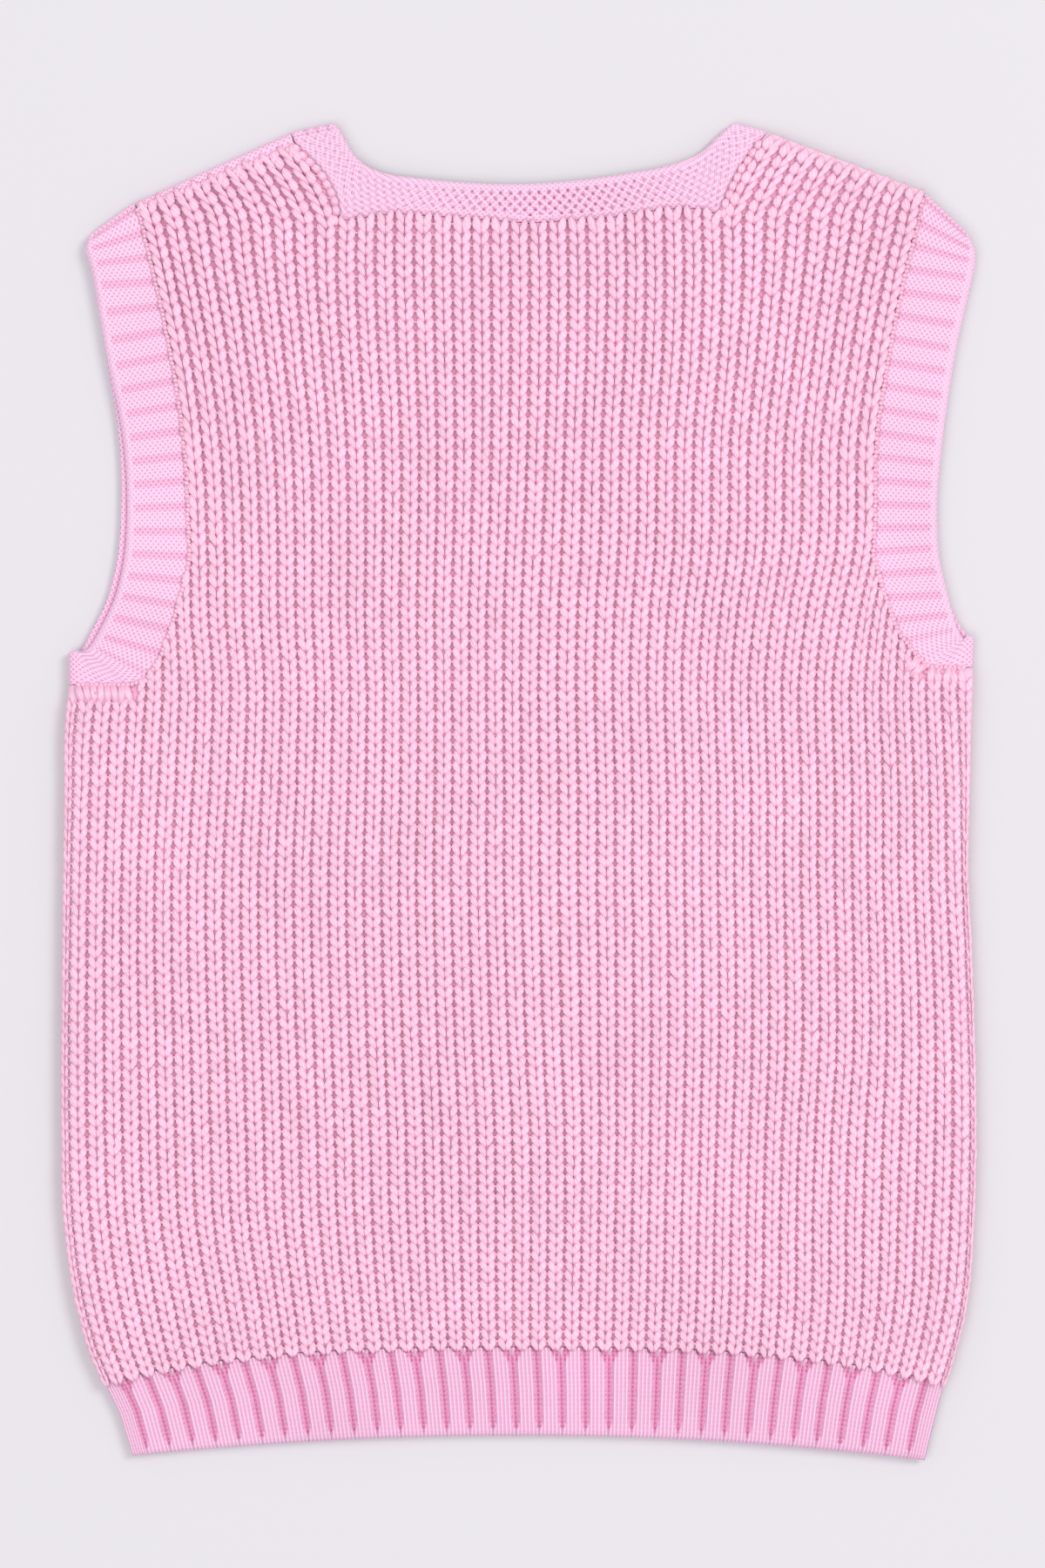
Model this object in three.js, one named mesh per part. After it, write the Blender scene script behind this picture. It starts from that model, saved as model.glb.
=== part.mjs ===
// Knitted sweater vest laid out flat, back upwards, in millimetres.
// +Y runs to the neck, +X to the wearer's right, and the underside rests on z = 0.
import * as THREE from 'three';

// Cloth walls and the gaps between pieces
const SEAM_GAP = 0.3;
const FRONT_WALL = 3.6;
const BACK_WALL = 2.6;
const WALE_RELIEF = 2.2;
const BAND_WALL = 2.5;
const BAND_RELIEF = 1.0;
const HEM_FRONT_WALL = 2.8;
const HEM_BACK_WALL = 2.0;
const HEM_RELIEF = 1.6;

// The side fold: its round is this wide, and the seam sits this far above the inner faces
const FOLD_WIDTH = 9;
const SEAM_RISE = 1.0;
const EDGE_WALL = 0.5;
const SIDE_PUFF = 0.9;

// Gutters between wales are numbered from the left; the outline is one step beyond each side
const LEFT_EDGE = -1;
const ARM_LEFT = 7;
const NECK_LEFT = 16;
const MIDDLE = 26;
const NECK_RIGHT = 36;
const ARM_RIGHT = 45;
const LAST_GUTTER = 52;
const RIGHT_EDGE = 53;
const WALE_CREST = [0.26, 0.74];

// Cross sections of the body: the outline and every few gutters at one height.
// pull is how far the gutters beside the neck are drawn to the middle.
const BODY_SECTIONS = [
  { y: -280.0, left: -195.5, g0: -191.3, g7: -137.5, g26: 5.3, g45: 148.5, g52: 197.6, right: 200.8, pull: 0 },
  { y: -262.0, left: -203.0, g0: -198.5, g7: -141.5, g26: 5.3, g45: 151.5, g52: 203.2, right: 206.0, pull: 0 },
  { y: -242.7, left: -208.3, g0: -203.8, g7: -145.1, g26: 5.3, g45: 153.3, g52: 207.6, right: 210.7, pull: 0 },
  { y: -201.7, left: -214.4, g0: -209.6, g7: -151.7, g26: 5.7, g45: 153.8, g52: 211.0, right: 214.2, pull: 0 },
  { y: -160.7, left: -215.3, g0: -211.2, g7: -153.3, g26: 5.3, g45: 155.0, g52: 212.0, right: 215.3, pull: 0 },
  { y: -119.7, left: -215.3, g0: -211.4, g7: -154.2, g26: 3.3, g45: 157.4, g52: 211.4, right: 214.6, pull: 0 },
  { y: -78.7, left: -215.0, g0: -211.0, g7: -155.4, g26: 2.1, g45: 157.4, g52: 210.0, right: 213.2, pull: 0 },
  { y: -37.7, left: -214.5, g0: -210.4, g7: -155.4, g26: 1.2, g45: 156.6, g52: 208.2, right: 211.4, pull: 0 },
  { y: 3.3, left: -214.0, g0: -209.5, g7: -153.3, g26: 1.2, g45: 156.6, g52: 207.7, right: 212.2, pull: 0 },
  { y: 30.0, left: -213.8, g0: -208.7, g7: -152.2, g26: 0.9, g45: 155.8, g52: 206.6, right: 212.9, pull: 0 },
  { y: 44.3, left: -212.4, g0: -207.1, g7: -151.7, g26: 0.8, g45: 155.4, g52: 206.0, right: 213.4, pull: 0 },
  { y: 85.3, left: -209.0, g0: -203.5, g7: -154.2, g26: 1.2, g45: 160.3, g52: 206.8, right: 214.0, pull: 0 },
  { y: 109.5, left: -207.0, g0: -201.5, g7: -154.6, g26: 2.1, g45: 165.6, g52: 207.6, right: 214.0, pull: 0 },
  { y: 167.3, left: -207.0, g0: -201.5, g7: -157.9, g26: 4.1, g45: 168.1, g52: 209.0, right: 214.0, pull: 0 },
  { y: 208.3, left: -207.0, g0: -201.5, g7: -164.0, g26: 4.9, g45: 174.3, g52: 210.0, right: 214.0, pull: 0 },
  { y: 249.3, left: -207.0, g0: -201.5, g7: -173.0, g26: 4.9, g45: 182.9, g52: 211.0, right: 214.0, pull: 3 },
  { y: 268.1, left: -207.0, g0: -201.5, g7: -177.5, g26: 4.5, g45: 187.8, g52: 212.0, right: 214.0, pull: 6 },
];

// The underarm line: where the gutters of each side end against the armband
const UNDERARM = [
  { gutter: -1, y: 49.6 }, { gutter: 3, y: 49.6 }, { gutter: 4, y: 52.1 }, { gutter: 5, y: 64.4 },
  { gutter: 6, y: 82.8 }, { gutter: 7, y: 109.5 }, { gutter: 45, y: 112.0 }, { gutter: 46, y: 99.6 },
  { gutter: 47, y: 86.1 }, { gutter: 48, y: 73.8 }, { gutter: 49, y: 66.0 }, { gutter: 50, y: 58.6 },
  { gutter: 51, y: 57.8 }, { gutter: 53, y: 57.8 },
];

// The top of the back's middle wales, where the neckband is sewn on
const NECKLINE = [
  { gutter: 16, y: 267.6 }, { gutter: 19, y: 271.4 }, { gutter: 22, y: 269.4 }, { gutter: 26, y: 266.8 },
  { gutter: 30, y: 269.0 }, { gutter: 33, y: 273.4 }, { gutter: 35, y: 273.6 }, { gutter: 36, y: 270.2 },
];
const SHOULDER_FOOT_LEFT = 267.6;
const SHOULDER_FOOT_RIGHT = 270.2;

// The sewn ends of the shoulders, from the armhole to the neck.
// bow draws the neck side towards the middle; cover is the strip outside the seam.
const SHOULDERS = {
  left: { armX: -179.6, armY: 274.0, neckX: -105.2, neckY: 303.2, bow: 6, coverArm: 3.2, coverNeck: 7.0 },
  right: { armX: 190.7, armY: 281.8, neckX: 117.3, neckY: 309.8, bow: -4, coverArm: 0, coverNeck: 0 },
};

// The V neck of the front: the lowest point of its sewn edge and of the band's free edge
const V_POINT = { x: 2.5, y: 124 };
const V_BAND_POINT = { x: 2.5, y: 158 };

// Soft ridges and troughs that the laid-out back shows, each a smooth hump
const SOFT_FOLDS = [
  { x: 62, y: -120, turn: 4, halfLength: 120, halfWidth: 15, height: 0.9 },
  { x: 104, y: -150, turn: 2, halfLength: 110, halfWidth: 14, height: -0.5 },
  { x: -118, y: -175, turn: -8, halfLength: 90, halfWidth: 20, height: 0.7 },
  { x: -150, y: -40, turn: -2, halfLength: 110, halfWidth: 13, height: -0.5 },
  { x: 168, y: -30, turn: 3, halfLength: 120, halfWidth: 12, height: -0.6 },
  { x: -95, y: 190, turn: 12, halfLength: 80, halfWidth: 16, height: 0.6 },
  { x: 120, y: 195, turn: -12, halfLength: 80, halfWidth: 16, height: 0.6 },
  { x: 2, y: 215, turn: 88, halfLength: 90, halfWidth: 18, height: -0.5 },
];

// The hem: ribs between numbered gutters, from the body's joint to the lower edge
const HEM_RIBS = 35;
const HEM_CREST = [0.2, 0.8];
const HEM_SECTIONS = [
  { drop: 0, left: -195.6, first: -187.2, last: 191.6, right: 200.3 },
  { drop: 0.45, left: -188.0, first: -180.2, last: 187.0, right: 196.0 },
  { drop: 1, left: -181.8, first: -174.4, last: 182.8, right: 190.9 },
];
const JOINT = { middleX: 1.5, middleY: -261.2, droop: 16.5, halfWidth: 199, power: 2.8 };
const HEM_EDGE = { middleY: -303.4, leftDroop: 9.8, rightDroop: 11.3, halfWidth: 186 };

// Armbands: the free edge from the shoulder to the side seam. seam is how far along the
// sewn edge each cross line starts, and lift moves the free edge of the front half outwards.
const ARMBAND_RIBS = 22;
const ARMBANDS = {
  left: [
    { x: -203.8, y: 257.8, seam: 0, lift: 0 },
    { x: -204.2, y: 254.6, seam: 0.04, lift: 0 },
    { x: -202.1, y: 248.1, seam: 0.088, lift: 0 },
    { x: -193.9, y: 203.4, seam: 0.256, lift: 0.3 },
    { x: -186.6, y: 167.3, seam: 0.402, lift: 2.0 },
    { x: -184.5, y: 132.4, seam: 0.547, lift: 2.9 },
    { x: -186.6, y: 105.8, seam: 0.662, lift: 3.3 },
    { x: -191.9, y: 87.3, seam: 0.75, lift: 3.4 },
    { x: -198.0, y: 75.0, seam: 0.807, lift: 3.6 },
    { x: -203.4, y: 66.8, seam: 0.892, lift: 2.6 },
    { x: -208.6, y: 66.2, seam: 1, lift: 0.3 },
  ],
  right: [
    { x: 213.1, y: 258.5, seam: 0, lift: 0 },
    { x: 214.9, y: 253.0, seam: 0.05, lift: 0 },
    { x: 214.7, y: 248.6, seam: 0.09, lift: 0 },
    { x: 205.8, y: 207.9, seam: 0.271, lift: -0.6 },
    { x: 199.7, y: 167.3, seam: 0.439, lift: -0.8 },
    { x: 196.8, y: 130.4, seam: 0.606, lift: -0.8 },
    { x: 198.0, y: 109.5, seam: 0.703, lift: -0.6 },
    { x: 203.0, y: 88.2, seam: 0.791, lift: 0 },
    { x: 206.2, y: 77.4, seam: 0.854, lift: 1.8 },
    { x: 208.8, y: 72.4, seam: 0.913, lift: 3.6 },
    { x: 210.6, y: 73.4, seam: 1, lift: 0.5 },
  ],
};

// Neckband: the free edge across the back, matched to the sewn edge in the same way
const NECKBAND_BACK = [
  { x: -85.0, y: 312.0, seam: 0 },
  { x: -82.2, y: 306.8, seam: 0.03 },
  { x: -77.6, y: 299.4, seam: 0.075 },
  { x: -71.1, y: 294.1, seam: 0.13 },
  { x: -62.7, y: 290.7, seam: 0.19 },
  { x: -48.4, y: 288.6, seam: 0.27 },
  { x: -20.1, y: 286.2, seam: 0.4 },
  { x: 0.8, y: 285.8, seam: 0.49 },
  { x: 22.1, y: 287.0, seam: 0.58 },
  { x: 50.4, y: 290.7, seam: 0.7 },
  { x: 71.3, y: 294.8, seam: 0.79 },
  { x: 84.1, y: 299.7, seam: 0.85 },
  { x: 92.3, y: 307.0, seam: 0.92 },
  { x: 96.2, y: 310.6, seam: 0.97 },
  { x: 98.3, y: 312.6, seam: 1 },
];

// Numbers used by every wall
const INNER_BACK = FRONT_WALL + SEAM_GAP;
const FOLD_CENTRE = FRONT_WALL + SEAM_GAP / 2;
const FOLD_ANGLES = [30, 60, 90, 120, 150];
const BAND_FOLD = BAND_WALL + BAND_RELIEF + SEAM_GAP / 2;
const NECK_FOLD = BAND_WALL + SEAM_GAP / 2;
const BAND_GAP = 0.4;
const END_SHARE = 0.02;

const lerp = THREE.MathUtils.lerp;

// Reads a named column of a table at a place between two of its rows
function readTable(table, key, place, column) {
  const rising = table[table.length - 1][key] > table[0][key];
  const rows = rising ? table : [...table].reverse();
  const limited = THREE.MathUtils.clamp(place, rows[0][key], rows[rows.length - 1][key]);
  const upper = Math.max(1, rows.findIndex((row) => row[key] >= limited));
  const low = rows[upper - 1];
  const high = rows[upper];
  return lerp(low[column], high[column], (limited - low[key]) / (high[key] - low[key]));
}

// Where gutter number u crosses height y
function gutterX(u, y) {
  const at = (column) => readTable(BODY_SECTIONS, 'y', y, column);
  const beside = (left, right, share, shift) => lerp(at(left), at(right), share) + shift;
  const neckLeft = beside('g7', 'g26', 9 / 19, at('pull'));
  const neckRight = beside('g26', 'g45', 10 / 19, -at('pull'));
  const knots = [
    [LEFT_EDGE, at('left')], [0, at('g0')], [ARM_LEFT, at('g7')], [NECK_LEFT, neckLeft],
    [MIDDLE, at('g26')], [NECK_RIGHT, neckRight], [ARM_RIGHT, at('g45')],
    [LAST_GUTTER, at('g52')], [RIGHT_EDGE, at('right')],
  ];
  const next = Math.max(1, knots.findIndex((knot) => knot[0] >= u));
  const [lowU, lowX] = knots[next - 1];
  const [highU, highX] = knots[next];
  return lerp(lowX, highX, (u - lowU) / (highU - lowU));
}

const jointY = (x) => JOINT.middleY
  - JOINT.droop * (Math.abs(x - JOINT.middleX) / JOINT.halfWidth) ** JOINT.power;

function hemEdgeY(x) {
  const droop = x < JOINT.middleX ? HEM_EDGE.leftDroop : HEM_EDGE.rightDroop;
  return HEM_EDGE.middleY - droop * ((x - JOINT.middleX) / HEM_EDGE.halfWidth) ** 2;
}

// Where gutter u meets the hem joint: the gutter leans, so the height is found in steps
function jointPoint(u) {
  let y = JOINT.middleY;
  for (let step = 0; step < 6; step += 1) y = jointY(gutterX(u, y));
  return new THREE.Vector2(gutterX(u, y), y);
}

// Height of the soft folds at a point of the back
function foldHeight(x, y) {
  let height = 0;
  for (const fold of SOFT_FOLDS) {
    const turn = THREE.MathUtils.degToRad(fold.turn);
    const along = (y - fold.y) * Math.cos(turn) + (x - fold.x) * Math.sin(turn);
    const across = (x - fold.x) * Math.cos(turn) - (y - fold.y) * Math.sin(turn);
    height += fold.height * Math.exp(-((along / fold.halfLength) ** 2) - (across / fold.halfWidth) ** 2);
  }
  return height;
}

// The round of a fold, from 0 at the outline to 1 where the panel lies flat
function roundness(edge) {
  const inside = 1 - Math.min(edge, FOLD_WIDTH) / FOLD_WIDTH;
  return Math.sqrt(1 - inside * inside);
}

const seamRise = (edge) => SEAM_RISE * (1 - Math.min(1, edge / FOLD_WIDTH));
const sidePuff = (edge) => SIDE_PUFF * Math.exp(-(((edge - 12) / 9) ** 2));

// Inner and outer heights of the two layers at a distance from a folded edge
const backInner = (edge) => INNER_BACK + seamRise(edge);
const frontInner = (edge) => FRONT_WALL + seamRise(edge);

function backOuter(edge, level) {
  const foot = INNER_BACK + SEAM_RISE + EDGE_WALL;
  return foot + (level - foot) * roundness(edge);
}

function frontOuter(edge) {
  return (FRONT_WALL + SEAM_RISE - EDGE_WALL) * (1 - roundness(edge));
}

// A closed mesh from vertices named by key, with no vertex stored twice
class MeshBuilder {
  constructor() {
    this.points = [];
    this.faces = [];
    this.numbers = new Map();
  }

  vertex(key, makePoint) {
    if (!this.numbers.has(key)) {
      this.numbers.set(key, this.points.length);
      this.points.push(makePoint());
    }
    return this.numbers.get(key);
  }

  quad(a, b, c, d) {
    this.faces.push([a, b, c], [a, c, d]);
  }

  geometry() {
    const geometry = new THREE.BufferGeometry();
    const positions = this.points.flatMap((point) => [point.x, point.y, point.z]);
    geometry.setAttribute('position', new THREE.Float32BufferAttribute(positions, 3));
    geometry.setIndex(this.faces.flat());
    geometry.computeVertexNormals();
    return geometry;
  }
}

// A wall over a chart of cells. columns are gutter numbers, crests are extra points of the
// top across one cell, and top and bottom give a point for a column and a row.
function wallGeometry({ columns, crests, rowCount, filled, top, bottom }) {
  const mesh = new MeshBuilder();
  const topAt = (u, row) => mesh.vertex(`top ${u.toFixed(4)} ${row}`, () => top(u, row));
  const bottomAt = (u, row) => mesh.vertex(`bottom ${u.toFixed(4)} ${row}`, () => bottom(u, row));
  const isFilled = (column, row) => column >= 0 && column < columns.length - 1
    && row >= 0 && row < rowCount - 1 && filled(columns[column], columns[column + 1], row);

  for (let column = 0; column < columns.length - 1; column += 1) {
    const left = columns[column];
    const right = columns[column + 1];
    const across = [left, ...crests.map((share) => lerp(left, right, share)), right];
    for (let row = 0; row < rowCount - 1; row += 1) {
      if (!isFilled(column, row)) continue;
      for (let part = 0; part < across.length - 1; part += 1) {
        mesh.quad(topAt(across[part], row), topAt(across[part + 1], row),
          topAt(across[part + 1], row + 1), topAt(across[part], row + 1));
      }
      mesh.quad(bottomAt(left, row), bottomAt(left, row + 1), bottomAt(right, row + 1), bottomAt(right, row));
      if (!isFilled(column - 1, row)) {
        mesh.quad(bottomAt(left, row), topAt(left, row), topAt(left, row + 1), bottomAt(left, row + 1));
      }
      if (!isFilled(column + 1, row)) {
        mesh.quad(bottomAt(right, row), bottomAt(right, row + 1), topAt(right, row + 1), topAt(right, row));
      }
      for (const [open, edgeRow, turned] of [
        [!isFilled(column, row - 1), row, false], [!isFilled(column, row + 1), row + 1, true]]) {
        if (!open) continue;
        const ring = [bottomAt(right, edgeRow), ...across.map((u) => topAt(u, edgeRow)).reverse()];
        const foot = bottomAt(left, edgeRow);
        for (let part = 0; part < ring.length - 1; part += 1) {
          const pair = turned ? [ring[part + 1], ring[part]] : [ring[part], ring[part + 1]];
          mesh.faces.push([foot, ...pair]);
        }
      }
    }
  }
  return mesh.geometry();
}

// A closed band from stations, each a ring of points in the same order
function ringGeometry(stations) {
  const mesh = new MeshBuilder();
  const count = stations[0].length;
  const at = (station, point) => {
    const ring = station % stations.length;
    return mesh.vertex(`${ring} ${point % count}`, () => stations[ring][point % count]);
  };
  for (let station = 0; station < stations.length; station += 1) {
    for (let point = 0; point < count; point += 1) {
      mesh.quad(at(station, point), at(station, point + 1), at(station + 1, point + 1), at(station + 1, point));
    }
  }
  return outward(mesh.geometry());
}

// A closed bar from stations, with a flat end at each side
function barGeometry(stations) {
  const mesh = new MeshBuilder();
  const count = stations[0].length;
  const at = (station, point) => mesh.vertex(`${station} ${point % count}`, () => stations[station][point % count]);
  for (let station = 0; station < stations.length - 1; station += 1) {
    for (let point = 0; point < count; point += 1) {
      mesh.quad(at(station, point), at(station, point + 1), at(station + 1, point + 1), at(station + 1, point));
    }
  }
  const half = count / 2;
  for (let part = 0; part < half - 1; part += 1) {
    const last = stations.length - 1;
    const mirror = count - 1 - part;
    mesh.quad(at(0, part), at(0, mirror), at(0, mirror - 1), at(0, part + 1));
    mesh.quad(at(last, part), at(last, part + 1), at(last, mirror - 1), at(last, mirror));
  }
  return outward(mesh.geometry());
}

// Turns all faces over if they point into the solid
function outward(geometry) {
  const point = (number) => new THREE.Vector3().fromBufferAttribute(geometry.attributes.position, number);
  const index = geometry.index.array;
  let volume = 0;
  for (let face = 0; face < index.length; face += 3) {
    volume += point(index[face]).dot(point(index[face + 1]).cross(point(index[face + 2])));
  }
  if (volume < 0) {
    for (let face = 0; face < index.length; face += 3) {
      [index[face + 1], index[face + 2]] = [index[face + 2], index[face + 1]];
    }
    geometry.computeVertexNormals();
  }
  return geometry;
}

// The chart of a panel: rows run from the hem joint to the underarm, the neck and the shoulders
function panelChart({ lower, upper, shoulder, neckPoint }) {
  const underarmRow = lower.length - 1;
  const neckRow = underarmRow + upper.length;
  const rowCount = neckRow + shoulder.length + 1;

  const shoulderSide = (u) => (u < MIDDLE ? SHOULDERS.left : SHOULDERS.right);
  const towardsNeck = (u) => (u < MIDDLE ? (u - ARM_LEFT) / (NECK_LEFT - ARM_LEFT)
    : (ARM_RIGHT - u) / (ARM_RIGHT - NECK_RIGHT));

  function underarmPoint(u) {
    const y = readTable(UNDERARM, 'gutter', u, 'y');
    return new THREE.Vector2(gutterX(u, y), y);
  }

  // Plan position of gutter u on a row
  function plan(u, row) {
    if (row <= underarmRow) {
      const y = lerp(jointPoint(u).y, underarmPoint(u).y, lower[row]);
      return new THREE.Vector2(gutterX(u, y), y);
    }
    if (row <= neckRow) return neckPoint(u, upper[row - underarmRow - 1], underarmPoint(u));
    const foot = neckPoint(u, 1, underarmPoint(u));
    const side = shoulderSide(u);
    const inward = towardsNeck(u);
    const up = shoulder[row - neckRow - 1];
    const sewn = new THREE.Vector2(lerp(side.armX, side.neckX, inward), lerp(side.armY, side.neckY, inward));
    const point = foot.clone().lerp(sewn, up);
    point.x += side.bow * inward * 4 * up * (1 - up) * neckPoint.bowShare;
    return point;
  }

  // Distance to the nearest folded edge: the side folds, and the fold of the right shoulder
  function edge(u, row) {
    const point = plan(u, row);
    if (row <= underarmRow) {
      const left = point.x - gutterX(LEFT_EDGE, point.y);
      const right = gutterX(RIGHT_EDGE, point.y) - point.x;
      return Math.max(0, Math.min(left, right));
    }
    if (row > neckRow && u > MIDDLE) return plan(u, rowCount - 1).distanceTo(point);
    return Infinity;
  }

  function filled(left, right, row) {
    if (row < underarmRow) return true;
    if (left < ARM_LEFT || right > ARM_RIGHT) return false;
    if (row < neckRow) return true;
    return right <= NECK_LEFT || left >= NECK_RIGHT;
  }
  return { plan, edge, filled, rowCount, underarmRow, neckRow };
}

// The upper rows of the back end at its shallow neckline
function backNeckPoint(u, share, underarm) {
  let end = readTable(NECKLINE, 'gutter', u, 'y');
  if (u < NECK_LEFT) end = SHOULDER_FOOT_LEFT;
  if (u > NECK_RIGHT) end = SHOULDER_FOOT_RIGHT;
  const y = lerp(underarm.y, end, share);
  return new THREE.Vector2(gutterX(u, y), y);
}
backNeckPoint.bowShare = 1;

// The upper rows of the front end at the V between the shoulders
function frontNeckPoint(u, share, underarm) {
  const side = u < MIDDLE ? SHOULDERS.left : SHOULDERS.right;
  const footY = u < MIDDLE ? SHOULDER_FOOT_LEFT : SHOULDER_FOOT_RIGHT;
  const down = (side.neckY - footY) / (side.neckY - V_POINT.y);
  const foot = new THREE.Vector2(lerp(side.neckX, V_POINT.x, down), footY);
  const neckSide = u < MIDDLE ? NECK_LEFT : NECK_RIGHT;
  const armSide = u < MIDDLE ? ARM_LEFT : ARM_RIGHT;
  if (u >= NECK_LEFT && u <= NECK_RIGHT) {
    const inward = Math.abs((u - neckSide) / (MIDDLE - neckSide));
    const end = foot.clone().lerp(new THREE.Vector2(V_POINT.x, V_POINT.y), inward);
    return underarm.clone().lerp(end, share);
  }
  const y = lerp(underarm.y, footY, share);
  const start = new THREE.Vector2(gutterX(neckSide, underarm.y), underarm.y);
  const neckX = start.lerp(foot, share).x;
  return new THREE.Vector2(lerp(gutterX(armSide, y), neckX, (u - armSide) / (neckSide - armSide)), y);
}
frontNeckPoint.bowShare = 0;

// Back: raised wales over a plain inside
const backChart = panelChart({
  lower: [0, 0.05, 0.17, 0.38, 0.6, 0.8, 1],
  upper: [0.36, 0.62, 0.86, 1],
  shoulder: [0.35, 0.65, 0.86, 0.96, 1],
  neckPoint: backNeckPoint,
});

function backTop(u, row) {
  const point = backChart.plan(u, row);
  const edge = backChart.edge(u, row);
  const raised = Number.isInteger(Number(u.toFixed(4))) ? 0 : WALE_RELIEF;
  const level = INNER_BACK + BACK_WALL + raised + foldHeight(point.x, point.y) + sidePuff(edge);
  return new THREE.Vector3(point.x, point.y, backOuter(edge, level));
}

function backBottom(u, row) {
  const point = backChart.plan(u, row);
  return new THREE.Vector3(point.x, point.y, backInner(backChart.edge(u, row)));
}

const backColumns = Array.from({ length: RIGHT_EDGE - LEFT_EDGE + 1 }, (_, step) => LEFT_EDGE + step);
const backGeometry = wallGeometry({
  columns: backColumns,
  crests: WALE_CREST,
  rowCount: backChart.rowCount,
  filled: backChart.filled,
  top: backTop,
  bottom: backBottom,
});

// Front: a plain wall, flat underneath, with the V neck
const frontChart = panelChart({
  lower: [0, 0.05, 0.17, 0.38, 0.6, 0.8, 1],
  upper: [0.36, 0.62, 0.86, 1],
  shoulder: [0.35, 0.65, 0.86, 0.96, 1],
  neckPoint: frontNeckPoint,
});
const frontColumns = [-0.75, -0.3, 0.3, 51.6, 52.4, 52.8, ...backColumns].sort((a, b) => a - b);

function frontTop(u, row) {
  const point = frontChart.plan(u, row);
  return new THREE.Vector3(point.x, point.y, frontInner(frontChart.edge(u, row)));
}

function frontBottom(u, row) {
  const point = frontChart.plan(u, row);
  return new THREE.Vector3(point.x, point.y, frontOuter(frontChart.edge(u, row)));
}

const frontGeometry = wallGeometry({
  columns: frontColumns,
  crests: [],
  rowCount: frontChart.rowCount,
  filled: frontChart.filled,
  top: frontTop,
  bottom: frontBottom,
});

// Hem: ribs on the back half, plain and flat on the front half
function hemPoint(u, drop) {
  const at = (column) => readTable(HEM_SECTIONS, 'drop', drop, column);
  const lastGutter = HEM_RIBS - 1;
  let x = lerp(at('first'), at('last'), (u - 1) / (lastGutter - 1));
  if (u < 1) x = lerp(at('left'), at('first'), u);
  if (u > lastGutter) x = lerp(at('last'), at('right'), u - lastGutter);
  const y = lerp(jointY(x) - SEAM_GAP, hemEdgeY(x), drop);
  return new THREE.Vector2(x, y);
}

function hemEdge(u, drop) {
  const x = hemPoint(u, drop).x;
  return Math.max(0, Math.min(x - hemPoint(0, drop).x, hemPoint(HEM_RIBS, drop).x - x));
}

const hemDrops = [1, 0.72, 0.45, 0.2, 0];
const hemInner = HEM_FRONT_WALL + SEAM_GAP;
const hemColumns = Array.from({ length: HEM_RIBS + 1 }, (_, step) => step);

function hemBackTop(u, row) {
  const point = hemPoint(u, hemDrops[row]);
  const raised = Number.isInteger(Number(u.toFixed(4))) ? 0 : HEM_RELIEF;
  const foot = hemInner + SEAM_RISE + EDGE_WALL;
  const level = hemInner + HEM_BACK_WALL + raised;
  return new THREE.Vector3(point.x, point.y, foot + (level - foot) * roundness(hemEdge(u, hemDrops[row])));
}

const hemBackGeometry = wallGeometry({
  columns: hemColumns,
  crests: HEM_CREST,
  rowCount: hemDrops.length,
  filled: () => true,
  top: hemBackTop,
  bottom: (u, row) => {
    const point = hemPoint(u, hemDrops[row]);
    return new THREE.Vector3(point.x, point.y, hemInner + seamRise(hemEdge(u, hemDrops[row])));
  },
});

const hemFrontGeometry = wallGeometry({
  columns: [0.15, 0.4, 0.7, 34.3, 34.6, 34.85, ...hemColumns].sort((a, b) => a - b),
  crests: [],
  rowCount: hemDrops.length,
  filled: () => true,
  top: (u, row) => {
    const point = hemPoint(u, hemDrops[row]);
    return new THREE.Vector3(point.x, point.y, HEM_FRONT_WALL + seamRise(hemEdge(u, hemDrops[row])));
  },
  bottom: (u, row) => {
    const point = hemPoint(u, hemDrops[row]);
    const rise = HEM_FRONT_WALL + SEAM_RISE - EDGE_WALL;
    return new THREE.Vector3(point.x, point.y, rise * (1 - roundness(hemEdge(u, hemDrops[row]))));
  },
});

// A line through plan points that can be read at a share of its length
class PlanLine {
  constructor(points) {
    this.points = points;
    this.lengths = [0];
    for (let number = 1; number < points.length; number += 1) {
      this.lengths.push(this.lengths[number - 1] + points[number].distanceTo(points[number - 1]));
    }
  }

  at(share) {
    const length = THREE.MathUtils.clamp(share, 0, 1) * this.lengths[this.lengths.length - 1];
    const next = Math.max(1, this.lengths.findIndex((reached) => reached >= length - 1e-9));
    const step = this.lengths[next] - this.lengths[next - 1];
    return this.points[next - 1].clone().lerp(this.points[next], (length - this.lengths[next - 1]) / step);
  }

  shares() {
    return this.lengths.map((length) => length / this.lengths[this.lengths.length - 1]);
  }

  // The direction in which the line would go on beyond its start or its end
  beyond(share) {
    const inside = this.at(share === 0 ? END_SHARE : 1 - END_SHARE);
    return this.at(share).sub(inside).normalize();
  }
}

// Moves a line of plan points sideways by a distance, to its left as it runs, with mitred corners
function besideLine(points, distance) {
  const sideOf = (from, to) => {
    const run = to.clone().sub(from).normalize();
    return new THREE.Vector2(-run.y, run.x);
  };
  return points.map((point, number) => {
    const before = number > 0 ? sideOf(points[number - 1], point) : sideOf(point, points[number + 1]);
    const after = number < points.length - 1 ? sideOf(point, points[number + 1]) : before;
    const mitre = before.clone().add(after).normalize();
    return point.clone().addScaledVector(mitre, distance / mitre.dot(before));
  });
}

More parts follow.
